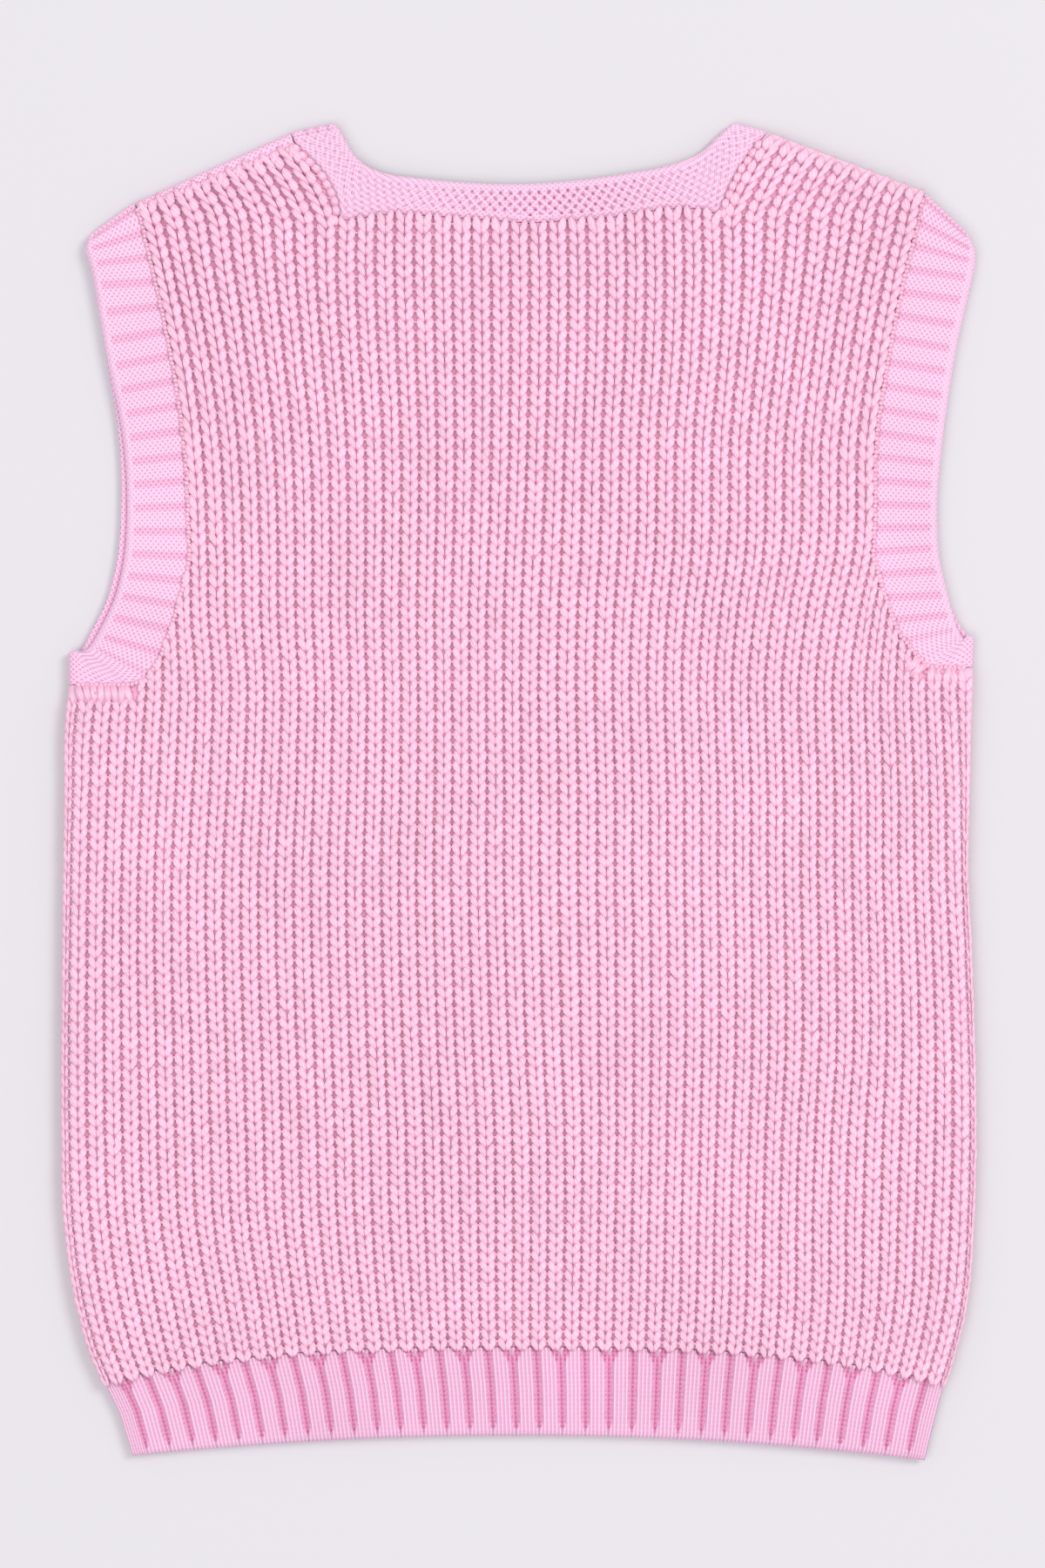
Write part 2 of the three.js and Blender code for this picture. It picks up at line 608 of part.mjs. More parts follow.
// Shortens a line of plan points at its end
function cutBack(points, distance) {
  const kept = [...points];
  let left = distance;
  while (kept[kept.length - 1].distanceTo(kept[kept.length - 2]) < left) {
    left -= kept[kept.length - 1].distanceTo(kept[kept.length - 2]);
    kept.pop();
  }
  const last = kept.pop();
  const before = kept[kept.length - 1];
  kept.push(last.clone().lerp(before, left / last.distanceTo(before)));
  return kept;
}

// Shares across a band from its sewn edge to its free edge, with the drop of the rounded edge
const BAND_ACROSS = [
  { share: 0, drop: 0 }, { share: 0.5, drop: 0 }, { share: 0.88, drop: 0.15 }, { share: 1, drop: 0.6 },
];

// One ring of points round a band. turn is 0 on the back layer and 180 on the front layer,
// and between them the band goes round a fold, outwards from its sewn and its free end.
function bandRing({ sewn, free, wall, turn, sewnOut, freeOut }) {
  const angle = THREE.MathUtils.degToRad(turn);
  const place = (share, reach) => {
    const out = sewnOut.clone().lerp(freeOut, share);
    const plan = sewn.clone().lerp(free, share).addScaledVector(out, reach * Math.sin(angle));
    return new THREE.Vector3(plan.x, plan.y, FOLD_CENTRE + reach * Math.cos(angle));
  };
  const clear = SEAM_GAP / 2;
  const outer = BAND_ACROSS.map(({ share, drop }) => place(share, clear + wall * (1 - drop)));
  return [...outer, place(1, clear), place(0, clear)];
}

const frontBandWall = FRONT_WALL;
const backBandWall = (raised) => BAND_WALL + (raised ? BAND_RELIEF : 0);

// Turns the band over a fold from the back layer to the front layer
function foldRings(ends) {
  return FOLD_ANGLES.map((turn) => {
    const wall = lerp(backBandWall(true), frontBandWall, turn / 180);
    return bandRing({ ...ends, wall, turn });
  });
}

// A ring where the band lies flat on one of the two layers
function flatRing(sewn, free, wall, turn) {
  return bandRing({ sewn, free, wall, turn, sewnOut: new THREE.Vector2(), freeOut: new THREE.Vector2() });
}

// A function that reads the free edge of a band at a share of its sewn edge
function freeEdge(table) {
  return (seam) => new THREE.Vector2(readTable(table, 'seam', seam, 'x'), readTable(table, 'seam', seam, 'y'));
}

// The sewn edge of an armband: the armhole edge of the panels, from the shoulder to the side
function armholeLine(chart, side) {
  const isLeft = side === 'left';
  const arm = isLeft ? ARM_LEFT : ARM_RIGHT;
  let points = [];
  for (let row = chart.underarmRow + 1; row < chart.rowCount; row += 1) points.push(chart.plan(arm, row));
  if (!isLeft) points = cutBack(points, BAND_FOLD);
  points.reverse();
  const sideColumns = isLeft ? [7, 6, 5, 4, 3, 1] : [45, 46, 47, 48, 49, 50, 51];
  for (const u of sideColumns) points.push(chart.plan(u, chart.underarmRow));
  const corner = chart.plan(isLeft ? LEFT_EDGE : RIGHT_EDGE, chart.underarmRow);
  corner.x += (isLeft ? 1 : -1) * BAND_FOLD;
  points.push(corner);
  return new PlanLine(besideLine(points, isLeft ? -BAND_GAP : BAND_GAP));
}

function armbandGeometry(side) {
  const table = ARMBANDS[side];
  const line = armholeLine(backChart, side);
  const sideOut = new THREE.Vector2(side === 'left' ? -1 : 1, 0);
  const backFree = freeEdge(table);
  const frontFree = (seam) => backFree(seam).addScaledVector(sideOut, readTable(table, 'seam', seam, 'lift'));
  const rings = [];

  // Back layer: each rib is a gutter and two crest lines
  const ribStations = [];
  for (let rib = 0; rib < ARMBAND_RIBS; rib += 1) {
    ribStations.push({ seam: rib / ARMBAND_RIBS, raised: false });
    ribStations.push({ seam: (rib + 0.3) / ARMBAND_RIBS, raised: true });
    ribStations.push({ seam: (rib + 0.75) / ARMBAND_RIBS, raised: true });
  }
  ribStations.push({ seam: 1, raised: true });
  for (const { seam, raised } of ribStations) {
    rings.push(flatRing(line.at(seam), backFree(seam), backBandWall(raised), 0));
  }

  // Round the side fold, up the front layer and over the shoulder
  rings.push(...foldRings({ sewn: line.at(1), free: backFree(1), sewnOut: sideOut, freeOut: sideOut }));
  for (const seam of line.shares().reverse()) {
    rings.push(flatRing(line.at(seam), frontFree(seam), frontBandWall, 180));
  }
  const freeOut = backFree(0).sub(backFree(END_SHARE)).normalize();
  const shoulder = foldRings({ sewn: line.at(0), free: backFree(0), sewnOut: line.beyond(0), freeOut });
  rings.push(...shoulder.reverse());
  return ringGeometry(rings);
}

// The direction that leaves a shoulder at right angles to its sewn end
function shoulderOut(side) {
  const run = new THREE.Vector2(side.neckX - side.armX, side.neckY - side.armY).normalize();
  return new THREE.Vector2(-run.y, run.x).multiplyScalar(Math.sign(run.x));
}

// The sewn edge of the neckband across the back, from the left shoulder to the right
function neckSeamLine() {
  const left = SHOULDERS.left;
  const corner = new THREE.Vector2(left.neckX, left.neckY);
  const points = [corner.addScaledVector(shoulderOut(left), left.coverNeck - NECK_FOLD)];
  for (let row = backChart.rowCount - 1; row >= backChart.neckRow; row -= 1) {
    points.push(backChart.plan(NECK_LEFT, row));
  }
  for (let u = NECK_LEFT + 1; u < NECK_RIGHT; u += 1) points.push(backChart.plan(u, backChart.neckRow));
  for (let row = backChart.neckRow; row < backChart.rowCount; row += 1) {
    points.push(backChart.plan(NECK_RIGHT, row));
  }
  return new PlanLine(besideLine(cutBack(points, NECK_FOLD), BAND_GAP));
}

function neckbandGeometry() {
  const backLine = neckSeamLine();
  const backFree = freeEdge(NECKBAND_BACK);
  const rings = backLine.shares().map((seam) => flatRing(backLine.at(seam), backFree(seam), BAND_WALL, 0));

  // Over the right shoulder, down and up the V, and over the left shoulder
  const shoulderFold = (seam) => {
    const inside = backFree(seam === 0 ? END_SHARE : 1 - END_SHARE);
    const freeOut = backFree(seam).sub(inside).normalize();
    return foldRings({ sewn: backLine.at(seam), free: backFree(seam), sewnOut: backLine.beyond(seam), freeOut });
  };
  rings.push(...shoulderFold(1));
  const vSewn = new THREE.Vector2(V_POINT.x, V_POINT.y);
  const vFree = new THREE.Vector2(V_BAND_POINT.x, V_BAND_POINT.y);
  const down = [0, 0.05, 0.3, 0.6, 1];
  const vRing = (seam, share) => {
    const start = backLine.at(seam);
    const steep = vSewn.clone().sub(start).normalize();
    const side = new THREE.Vector2(-steep.y, steep.x).multiplyScalar(seam === 1 ? -BAND_GAP : BAND_GAP);
    const apexLift = new THREE.Vector2(0, 2 * BAND_GAP);
    const sewn = start.clone().lerp(vSewn.clone().add(apexLift), share);
    if (share > 0 && share < 1) sewn.add(side);
    return flatRing(sewn, backFree(seam).lerp(vFree, share), frontBandWall, 180);
  };
  for (const share of down) rings.push(vRing(1, share));
  for (const share of [...down].reverse().slice(1)) rings.push(vRing(0, share));
  rings.push(...shoulderFold(0).reverse());
  return ringGeometry(rings);
}

// The fine strip that closes the left shoulder and goes over its fold
function shoulderStripGeometry() {
  const side = SHOULDERS.left;
  const start = new THREE.Vector2(side.armX, side.armY);
  const end = new THREE.Vector2(side.neckX, side.neckY);
  const out = shoulderOut(side);
  const stations = [0.004, 0.2, 0.4, 0.6, 0.8, 0.999].map((share) => {
    const sewn = start.clone().lerp(end, share).addScaledVector(out, SEAM_GAP);
    const cover = lerp(side.coverArm, side.coverNeck, share);
    const fold = sewn.clone().addScaledVector(out, cover - NECK_FOLD - SEAM_GAP);
    const outer = [];
    const inner = [];
    const clear = SEAM_GAP / 2;
    outer.push(new THREE.Vector3(sewn.x, sewn.y, FOLD_CENTRE + clear + backBandWall(true)));
    inner.push(new THREE.Vector3(sewn.x, sewn.y, FOLD_CENTRE + clear));
    for (const turn of [0, ...FOLD_ANGLES, 180]) {
      const angle = THREE.MathUtils.degToRad(turn);
      const wall = lerp(backBandWall(true), frontBandWall, turn / 180);
      const place = (reach) => {
        const plan = fold.clone().addScaledVector(out, Math.min(reach, NECK_FOLD) * Math.sin(angle));
        return new THREE.Vector3(plan.x, plan.y, FOLD_CENTRE + reach * Math.cos(angle));
      };
      outer.push(place(clear + wall));
      inner.push(place(clear));
    }
    outer.push(new THREE.Vector3(sewn.x, sewn.y, 0));
    inner.push(new THREE.Vector3(sewn.x, sewn.y, FOLD_CENTRE - clear));
    return [...outer, ...inner.reverse()];
  });
  return barGeometry(stations);
}

// Knit colours
const KNIT_PINK = 0xf6bdd9;
const BAND_PINK = 0xf7c3dd;
const HEM_PINK = 0xf5bad6;

function knitMaterial(color) {
  return new THREE.MeshStandardMaterial({ color, roughness: 0.92, metalness: 0 });
}

const group = new THREE.Group();

function addPiece(name, geometry, color) {
  const mesh = new THREE.Mesh(geometry, knitMaterial(color));
  mesh.name = name;
  group.add(mesh);
}

addPiece('back_panel', backGeometry, KNIT_PINK);
addPiece('front_panel', frontGeometry, KNIT_PINK);
addPiece('hem_rib_back', hemBackGeometry, HEM_PINK);
addPiece('hem_rib_front', hemFrontGeometry, HEM_PINK);
addPiece('armband_left', armbandGeometry('left'), BAND_PINK);
addPiece('armband_right', armbandGeometry('right'), BAND_PINK);
addPiece('neckband', neckbandGeometry(), BAND_PINK);
addPiece('shoulder_strip_left', shoulderStripGeometry(), BAND_PINK);

export default group;
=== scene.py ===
"""A knitted sweater vest laid out flat with its back upwards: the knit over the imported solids.

Tables and plan functions are in millimetres, and meshes are made in metres.
"""

import bpy
import numpy as np
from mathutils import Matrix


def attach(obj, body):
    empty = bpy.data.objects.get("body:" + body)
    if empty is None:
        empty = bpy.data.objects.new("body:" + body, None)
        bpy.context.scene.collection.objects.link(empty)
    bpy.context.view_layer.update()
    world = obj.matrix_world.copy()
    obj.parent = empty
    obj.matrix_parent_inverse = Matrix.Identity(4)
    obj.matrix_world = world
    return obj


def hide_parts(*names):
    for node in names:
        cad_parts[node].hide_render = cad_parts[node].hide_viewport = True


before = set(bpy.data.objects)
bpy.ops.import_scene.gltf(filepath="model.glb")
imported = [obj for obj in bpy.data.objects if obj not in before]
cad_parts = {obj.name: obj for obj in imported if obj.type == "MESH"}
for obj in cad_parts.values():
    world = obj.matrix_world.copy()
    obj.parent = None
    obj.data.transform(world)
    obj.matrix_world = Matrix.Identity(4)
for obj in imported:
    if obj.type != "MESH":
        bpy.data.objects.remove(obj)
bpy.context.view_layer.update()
random = np.random.default_rng(7)

MM = 0.001

# Heights of the cloth layers, as in the solids
SEAM_GAP = 0.3
FRONT_WALL = 3.6
BACK_WALL = 2.6
INNER_BACK = FRONT_WALL + SEAM_GAP
FOLD_CENTRE = FRONT_WALL + SEAM_GAP / 2
BAND_WALL = 2.5
BAND_RELIEF = 1.0
HEM_FRONT_WALL = 2.8
HEM_BACK_WALL = 2.0
HEM_RELIEF = 1.6
FOLD_WIDTH = 9.0
SEAM_RISE = 1.0
EDGE_WALL = 0.5
SIDE_PUFF = dict(height=0.9, middle=12.0, width=9.0)

# Numbered gutters between the wales
LEFT_EDGE, FIRST_GUTTER, ARM_LEFT, NECK_LEFT, MIDDLE = -1, 0, 7, 16, 26
NECK_RIGHT, ARM_RIGHT, LAST_GUTTER, RIGHT_EDGE = 36, 45, 52, 53
KNOT_GUTTERS = np.array([LEFT_EDGE, FIRST_GUTTER, ARM_LEFT, NECK_LEFT, MIDDLE,
                         NECK_RIGHT, ARM_RIGHT, LAST_GUTTER, RIGHT_EDGE], float)

# Cross sections of the body: height, outline, every few gutters, and the pull beside the neck
BODY_COLUMNS = ("y", "left", "g0", "g7", "g26", "g45", "g52", "right", "pull")
BODY_SECTIONS = np.array([
    (-280, -195.5, -191.3, -137.5, 5.3, 148.5, 197.6, 200.8, 0),
    (-262, -203, -198.5, -141.5, 5.3, 151.5, 203.2, 206, 0),
    (-242.7, -208.3, -203.8, -145.1, 5.3, 153.3, 207.6, 210.7, 0),
    (-201.7, -214.4, -209.6, -151.7, 5.7, 153.8, 211, 214.2, 0),
    (-160.7, -215.3, -211.2, -153.3, 5.3, 155, 212, 215.3, 0),
    (-119.7, -215.3, -211.4, -154.2, 3.3, 157.4, 211.4, 214.6, 0),
    (-78.7, -215, -211, -155.4, 2.1, 157.4, 210, 213.2, 0),
    (-37.7, -214.5, -210.4, -155.4, 1.2, 156.6, 208.2, 211.4, 0),
    (3.3, -214, -209.5, -153.3, 1.2, 156.6, 207.7, 212.2, 0),
    (30, -213.8, -208.7, -152.2, 0.9, 155.8, 206.6, 212.9, 0),
    (44.3, -212.4, -207.1, -151.7, 0.8, 155.4, 206, 213.4, 0),
    (85.3, -209, -203.5, -154.2, 1.2, 160.3, 206.8, 214, 0),
    (109.5, -207, -201.5, -154.6, 2.1, 165.6, 207.6, 214, 0),
    (167.3, -207, -201.5, -157.9, 4.1, 168.1, 209, 214, 0),
    (208.3, -207, -201.5, -164, 4.9, 174.3, 210, 214, 0),
    (249.3, -207, -201.5, -173, 4.9, 182.9, 211, 214, 3),
    (268.1, -207, -201.5, -177.5, 4.5, 187.8, 212, 214, 6),
])
UNDERARM = np.array([
    (-1, 49.6), (3, 49.6), (4, 52.1), (5, 64.4), (6, 82.8), (7, 109.5), (45, 112),
    (46, 99.6), (47, 86.1), (48, 73.8), (49, 66), (50, 58.6), (51, 57.8), (53, 57.8),
])
NECKLINE = np.array([
    (16, 267.6), (19, 271.4), (22, 269.4), (26, 266.8),
    (30, 269), (33, 273.4), (35, 273.6), (36, 270.2),
])
SHOULDER_FOOT = {"left": 267.6, "right": 270.2}
SHOULDERS = {
    "left": dict(arm=np.array([-179.6, 274]), neck=np.array([-105.2, 303.2]), bow=6, cover=(3.2, 7)),
    "right": dict(arm=np.array([190.7, 281.8]), neck=np.array([117.3, 309.8]), bow=-4),
}
V_POINT = np.array([2.5, 124.0])
V_BAND_POINT = np.array([2.5, 158])

# Soft folds: middle, turn in degrees, half length, half width, height
SOFT_FOLDS = [
    (62, -120, 4, 120, 15, 0.9), (104, -150, 2, 110, 14, -0.5), (-118, -175, -8, 90, 20, 0.7),
    (-150, -40, -2, 110, 13, -0.5), (168, -30, 3, 120, 12, -0.6), (-95, 190, 12, 80, 16, 0.6),
    (120, 195, -12, 80, 16, 0.6), (2, 215, 88, 90, 18, -0.5),
]

# Hem: drop from the joint, left edge, first and last gutter, right edge
HEM_RIBS = 35
HEM_SECTIONS = np.array([
    (0, -195.6, -187.2, 191.6, 200.3), (0.45, -188, -180.2, 187, 196),
    (1, -181.8, -174.4, 182.8, 190.9),
])
JOINT = dict(middle_x=1.5, middle_y=-261.2, droop=16.5, half_width=199, power=2.8)
HEM_EDGE = dict(middle_y=-303.4, left_droop=9.8, right_droop=11.3, half_width=186)

# Free edges of the bands: x, y, share of the sewn edge, outward lift of the front half
ARMBAND_RIBS = 22
ARMBANDS = {
    "left": np.array([
        (-203.8, 257.8, 0, 0), (-204.2, 254.6, 0.04, 0), (-202.1, 248.1, 0.088, 0),
        (-193.9, 203.4, 0.256, 0.3), (-186.6, 167.3, 0.402, 2), (-184.5, 132.4, 0.547, 2.9),
        (-186.6, 105.8, 0.662, 3.3), (-191.9, 87.3, 0.75, 3.4), (-198, 75, 0.807, 3.6),
        (-203.4, 66.8, 0.892, 2.6), (-208.6, 66.2, 1, 0.3),
    ]),
    "right": np.array([
        (213.1, 258.5, 0, 0), (214.9, 253, 0.05, 0), (214.7, 248.6, 0.09, 0),
        (205.8, 207.9, 0.271, -0.6), (199.7, 167.3, 0.439, -0.8), (196.8, 130.4, 0.606, -0.8),
        (198, 109.5, 0.703, -0.6), (203, 88.2, 0.791, 0), (206.2, 77.4, 0.854, 1.8),
        (208.8, 72.4, 0.913, 3.6), (210.6, 73.4, 1, 0.5),
    ]),
}
NECKBAND = np.array([
    (-85, 312, 0), (-82.2, 306.8, 0.03), (-77.6, 299.4, 0.075), (-71.1, 294.1, 0.13),
    (-62.7, 290.7, 0.19), (-48.4, 288.6, 0.27), (-20.1, 286.2, 0.4), (0.8, 285.8, 0.49),
    (22.1, 287, 0.58), (50.4, 290.7, 0.7), (71.3, 294.8, 0.79), (84.1, 299.7, 0.85),
    (92.3, 307, 0.92), (96.2, 310.6, 0.97), (98.3, 312.6, 1),
])


# Plan of the cloth
def smooth_read(places, values, at):
    """Reads a table along a smooth curve through its rows."""
    at = np.clip(at, places[0], places[-1])
    slopes = np.gradient(values, places)
    low = np.clip(np.searchsorted(places, at, side="right") - 1, 0, len(places) - 2)
    step = places[low + 1] - places[low]
    t = (at - places[low]) / step
    start = (2 * t**3 - 3 * t**2 + 1) * values[low] + (t**3 - 2 * t**2 + t) * step * slopes[low]
    end = (3 * t**2 - 2 * t**3) * values[low + 1] + (t**3 - t**2) * step * slopes[low + 1]
    return start + end


def smoothstep(value, low=0.0, high=1.0):
    t = np.clip((value - low) / (high - low), 0, 1)
    return t * t * (3 - 2 * t)


def mix(a, b, share):
    return a + (b - a) * share


WALE_DRIFT = 3.2


def gutter_x(u, y):
    """Where gutter number u crosses height y."""
    u, y = np.broadcast_arrays(np.asarray(u, float), np.asarray(y, float))
    at = {name: smooth_read(BODY_SECTIONS[:, 0], column, y)
          for name, column in zip(BODY_COLUMNS, BODY_SECTIONS.T)}
    share_left = (NECK_LEFT - ARM_LEFT) / (MIDDLE - ARM_LEFT)
    share_right = (NECK_RIGHT - MIDDLE) / (ARM_RIGHT - MIDDLE)
    neck_left = mix(at["g7"], at["g26"], share_left) + at["pull"]
    neck_right = mix(at["g26"], at["g45"], share_right) - at["pull"]
    knots = np.stack([at["left"], at["g0"], at["g7"], neck_left, at["g26"], neck_right, at["g45"],
                      at["g52"], at["right"]], axis=-1)
    low = np.clip(np.searchsorted(KNOT_GUTTERS, u, side="right") - 1, 0, len(KNOT_GUTTERS) - 2)
    share = (u - KNOT_GUTTERS[low]) / (KNOT_GUTTERS[low + 1] - KNOT_GUTTERS[low])
    lower, upper = (np.take_along_axis(knots, low[..., None] + i, -1)[..., 0] for i in (0, 1))
    drift = WALE_DRIFT * smoothstep(u, MIDDLE, 31) * (1 - smoothstep(u, 33, ARM_RIGHT))
    drift = drift * np.exp(-(((y + 20) / 150) ** 2))
    return mix(lower, upper, share) + drift


def joint_y(x):
    away = np.abs(x - JOINT["middle_x"]) / JOINT["half_width"]
    return JOINT["middle_y"] - JOINT["droop"] * away ** JOINT["power"]


def hem_edge_y(x):
    droop = np.where(x < JOINT["middle_x"], HEM_EDGE["left_droop"], HEM_EDGE["right_droop"])
    return HEM_EDGE["middle_y"] - droop * ((x - JOINT["middle_x"]) / HEM_EDGE["half_width"]) ** 2


def underarm_y(u):
    return np.interp(u, UNDERARM[:, 0], UNDERARM[:, 1])


def neckline_y(u):
    return np.interp(u, NECKLINE[:, 0], NECKLINE[:, 1])


def by_side(u, left, right):
    return np.where(u < MIDDLE, left, right)


def shoulder_inward(u):
    """How far wale line u is from the armhole, at 0, to the neck, at 1."""
    from_left = (u - ARM_LEFT) / (NECK_LEFT - ARM_LEFT)
    from_right = (ARM_RIGHT - u) / (ARM_RIGHT - NECK_RIGHT)
    return np.clip(by_side(u, from_left, from_right), 0, 1)


def shoulder_corner(u, corner, i):
    return by_side(u, SHOULDERS["left"][corner][i], SHOULDERS["right"][corner][i])


def shoulder_foot(u):
    return by_side(u, SHOULDER_FOOT["left"], SHOULDER_FOOT["right"])


def shoulder_end(u):
    """The sewn end of wale line u of a shoulder."""
    return tuple(mix(shoulder_corner(u, "arm", i), shoulder_corner(u, "neck", i), shoulder_inward(u))
                 for i in (0, 1))


def shoulder_bow(u, up):
    """How far the neck side of a shoulder is drawn to the middle, part of the way up."""
    bow = by_side(u, SHOULDERS["left"]["bow"], SHOULDERS["right"]["bow"])
    return bow * shoulder_inward(u) * 4 * up * (1 - up)


WALE_BOW = 0.35


def wale_x(u, y):
    """Where wale line u is at height y, on the body or on a shoulder."""
    u, y = np.broadcast_arrays(np.asarray(u, float), np.asarray(y, float))
    foot_y = shoulder_foot(u)
    end_x, end_y = shoulder_end(u)
    up = np.clip((y - foot_y) / (end_y - foot_y), 0, 1)
    above = mix(gutter_x(u, foot_y), end_x, up) + WALE_BOW * shoulder_bow(u, up)
    on_shoulder = (y > foot_y) & ((u <= NECK_LEFT) | (u >= NECK_RIGHT))
    return np.where(on_shoulder, above, gutter_x(u, y))


def wale_top(u):
    """The height where wale line u ends: underarm, shoulder or neckline."""
    u = np.asarray(u, float)
    in_neck = (u > NECK_LEFT) & (u < NECK_RIGHT)
    in_arm = (u < ARM_LEFT) | (u > ARM_RIGHT)
    return np.where(in_arm, underarm_y(u), np.where(in_neck, neckline_y(u), shoulder_end(u)[1]))


# Heights of the cloth
def fold_height(x, y):
    height = np.zeros(np.broadcast(x, y).shape)
    for mid_x, mid_y, turn, half_length, half_width, rise in SOFT_FOLDS:
        angle = np.radians(turn)
        along = (y - mid_y) * np.cos(angle) + (x - mid_x) * np.sin(angle)
        across = (x - mid_x) * np.cos(angle) - (y - mid_y) * np.sin(angle)
        height += rise * np.exp(-((along / half_length) ** 2) - (across / half_width) ** 2)
    return height


def edge_distance(x, y):
    """Distance from the side folds and from the fold of the right shoulder."""
    sides = np.minimum(x - gutter_x(LEFT_EDGE, y), gutter_x(RIGHT_EDGE, y) - x)
    arm, neck = SHOULDERS["right"]["arm"], SHOULDERS["right"]["neck"]
    run = (neck - arm) / np.linalg.norm(neck - arm)
    from_fold = (x - arm[0]) * run[1] - (y - arm[1]) * run[0]
    return np.maximum(np.minimum(sides, -from_fold), 0)


def roundness(edge):
    inside = 1 - np.minimum(edge, FOLD_WIDTH) / FOLD_WIDTH
    return np.sqrt(1 - inside * inside)


def seam_rise(edge):
    return SEAM_RISE * (1 - np.minimum(1, edge / FOLD_WIDTH))


def back_height(x, y):
    """Height of the back's gutters."""
    edge = edge_distance(x, y)
    puff = SIDE_PUFF["height"] * np.exp(-(((edge - SIDE_PUFF["middle"]) / SIDE_PUFF["width"]) ** 2))
    level = INNER_BACK + BACK_WALL + fold_height(x, y) + puff
    foot = INNER_BACK + SEAM_RISE + EDGE_WALL
    return foot + (level - foot) * roundness(edge)


def unit(vectors):
    return vectors / np.maximum(np.linalg.norm(vectors, axis=-1, keepdims=True), 1e-9)


# Mesh making
def new_object(name, data):
    """Makes an object of a mesh, camera or light and puts it in the scene."""
    made = bpy.data.objects.new(name, data)
    bpy.context.scene.collection.objects.link(made)
    return made


def tube_uv(groups, stations, count):
    """A map of yarn tubes: round the tube by along it."""
    along, around = np.meshgrid(np.linspace(0, 1, stations), np.linspace(0, 1, count), indexing="ij")
    return np.tile(np.stack([around, along], axis=-1).reshape(-1, 2), (groups, 1))


def add_piece(name, points, faces, material, painted_shade=None, tint=None, uv=None):
    """Makes a smooth mesh from points in millimetres and faces with the same number of corners."""
    points, faces = np.asarray(points, float).reshape(-1, 3), np.asarray(faces, np.int32)
    mesh = bpy.data.meshes.new(name)
    mesh.vertices.add(len(points))
    mesh.vertices.foreach_set("co", (points * MM).astype(np.float32).ravel())
    mesh.loops.add(faces.size)
    mesh.loops.foreach_set("vertex_index", faces.ravel())
    mesh.polygons.add(len(faces))
    mesh.polygons.foreach_set("loop_start", np.arange(len(faces), dtype=np.int32) * faces.shape[1])
    mesh.polygons.foreach_set("use_smooth", np.ones(len(faces), bool))
    # painted_shade is each point's share of painted shade in hollows, and tint a random change of tone
    for label, values in (("painted_shade", painted_shade), ("tint", tint)):
        if values is not None:
            layer = mesh.attributes.new(label, "FLOAT", "POINT")
            layer.data.foreach_set("value", np.asarray(values, np.float32).ravel())
    if uv is not None:
        layer = mesh.uv_layers.new(name="UVMap")
        layer.data.foreach_set("uv", np.asarray(uv, np.float32).reshape(-1, 2)[faces.ravel()].ravel())
    mesh.update(calc_edges=True)
    mesh.materials.append(material)
    return new_object(name, mesh)


def walled_faces(filled):
    """Quads of a closed wall: an upper and a lower grid of the filled cells, joined at every open edge."""
    columns, rows = filled.shape[0] + 1, filled.shape[1] + 1
    number = np.arange(columns * rows).reshape(columns, rows)
    below = columns * rows
    corners = [number[:-1, :-1], number[1:, :-1], number[1:, 1:], number[:-1, 1:]]
    top = np.stack([c[filled] for c in corners], axis=1)
    faces = [top, top[:, ::-1] + below]
    padded = np.pad(filled, 1)
    beside = [padded[1:-1, :-2], padded[2:, 1:-1], padded[1:-1, 2:], padded[:-2, 1:-1]]
    for side in range(4):
        is_open = filled & ~beside[side]
        a, b = corners[side][is_open], corners[(side + 1) % 4][is_open]
        faces.append(np.stack([a + below, b + below, b, a], axis=1))
    return np.concatenate(faces)


def ring_faces(stations, count):
    """Quads of a closed band: rings of count points, the last ring joined to the first."""
    number = np.arange(stations * count).reshape(stations, count)
    following = np.roll(number, -1, axis=0)
    return np.stack([number, np.roll(number, -1, axis=1), np.roll(following, -1, axis=1), following],
                    axis=-1).reshape(-1, 4)


def strip_faces(groups, stations, count):
    """Quads of many open strips, each stations rings of count points."""
    number = np.arange(stations * count).reshape(stations, count)
    corners = [number[:-1, :-1], number[:-1, 1:], number[1:, 1:], number[1:, :-1]]
    one = np.stack(corners, axis=-1).reshape(-1, 4)
    return (one[None] + (np.arange(groups) * stations * count)[:, None, None]).reshape(-1, 4)


# Materials, whose colour is scaled by an even level and by shares of uneven fields
EVEN_LEVEL, TINT_SHARE, PATCH_SHARE, FIBRE_SHARE = 0.87, 0.03, 0.16, 0.10


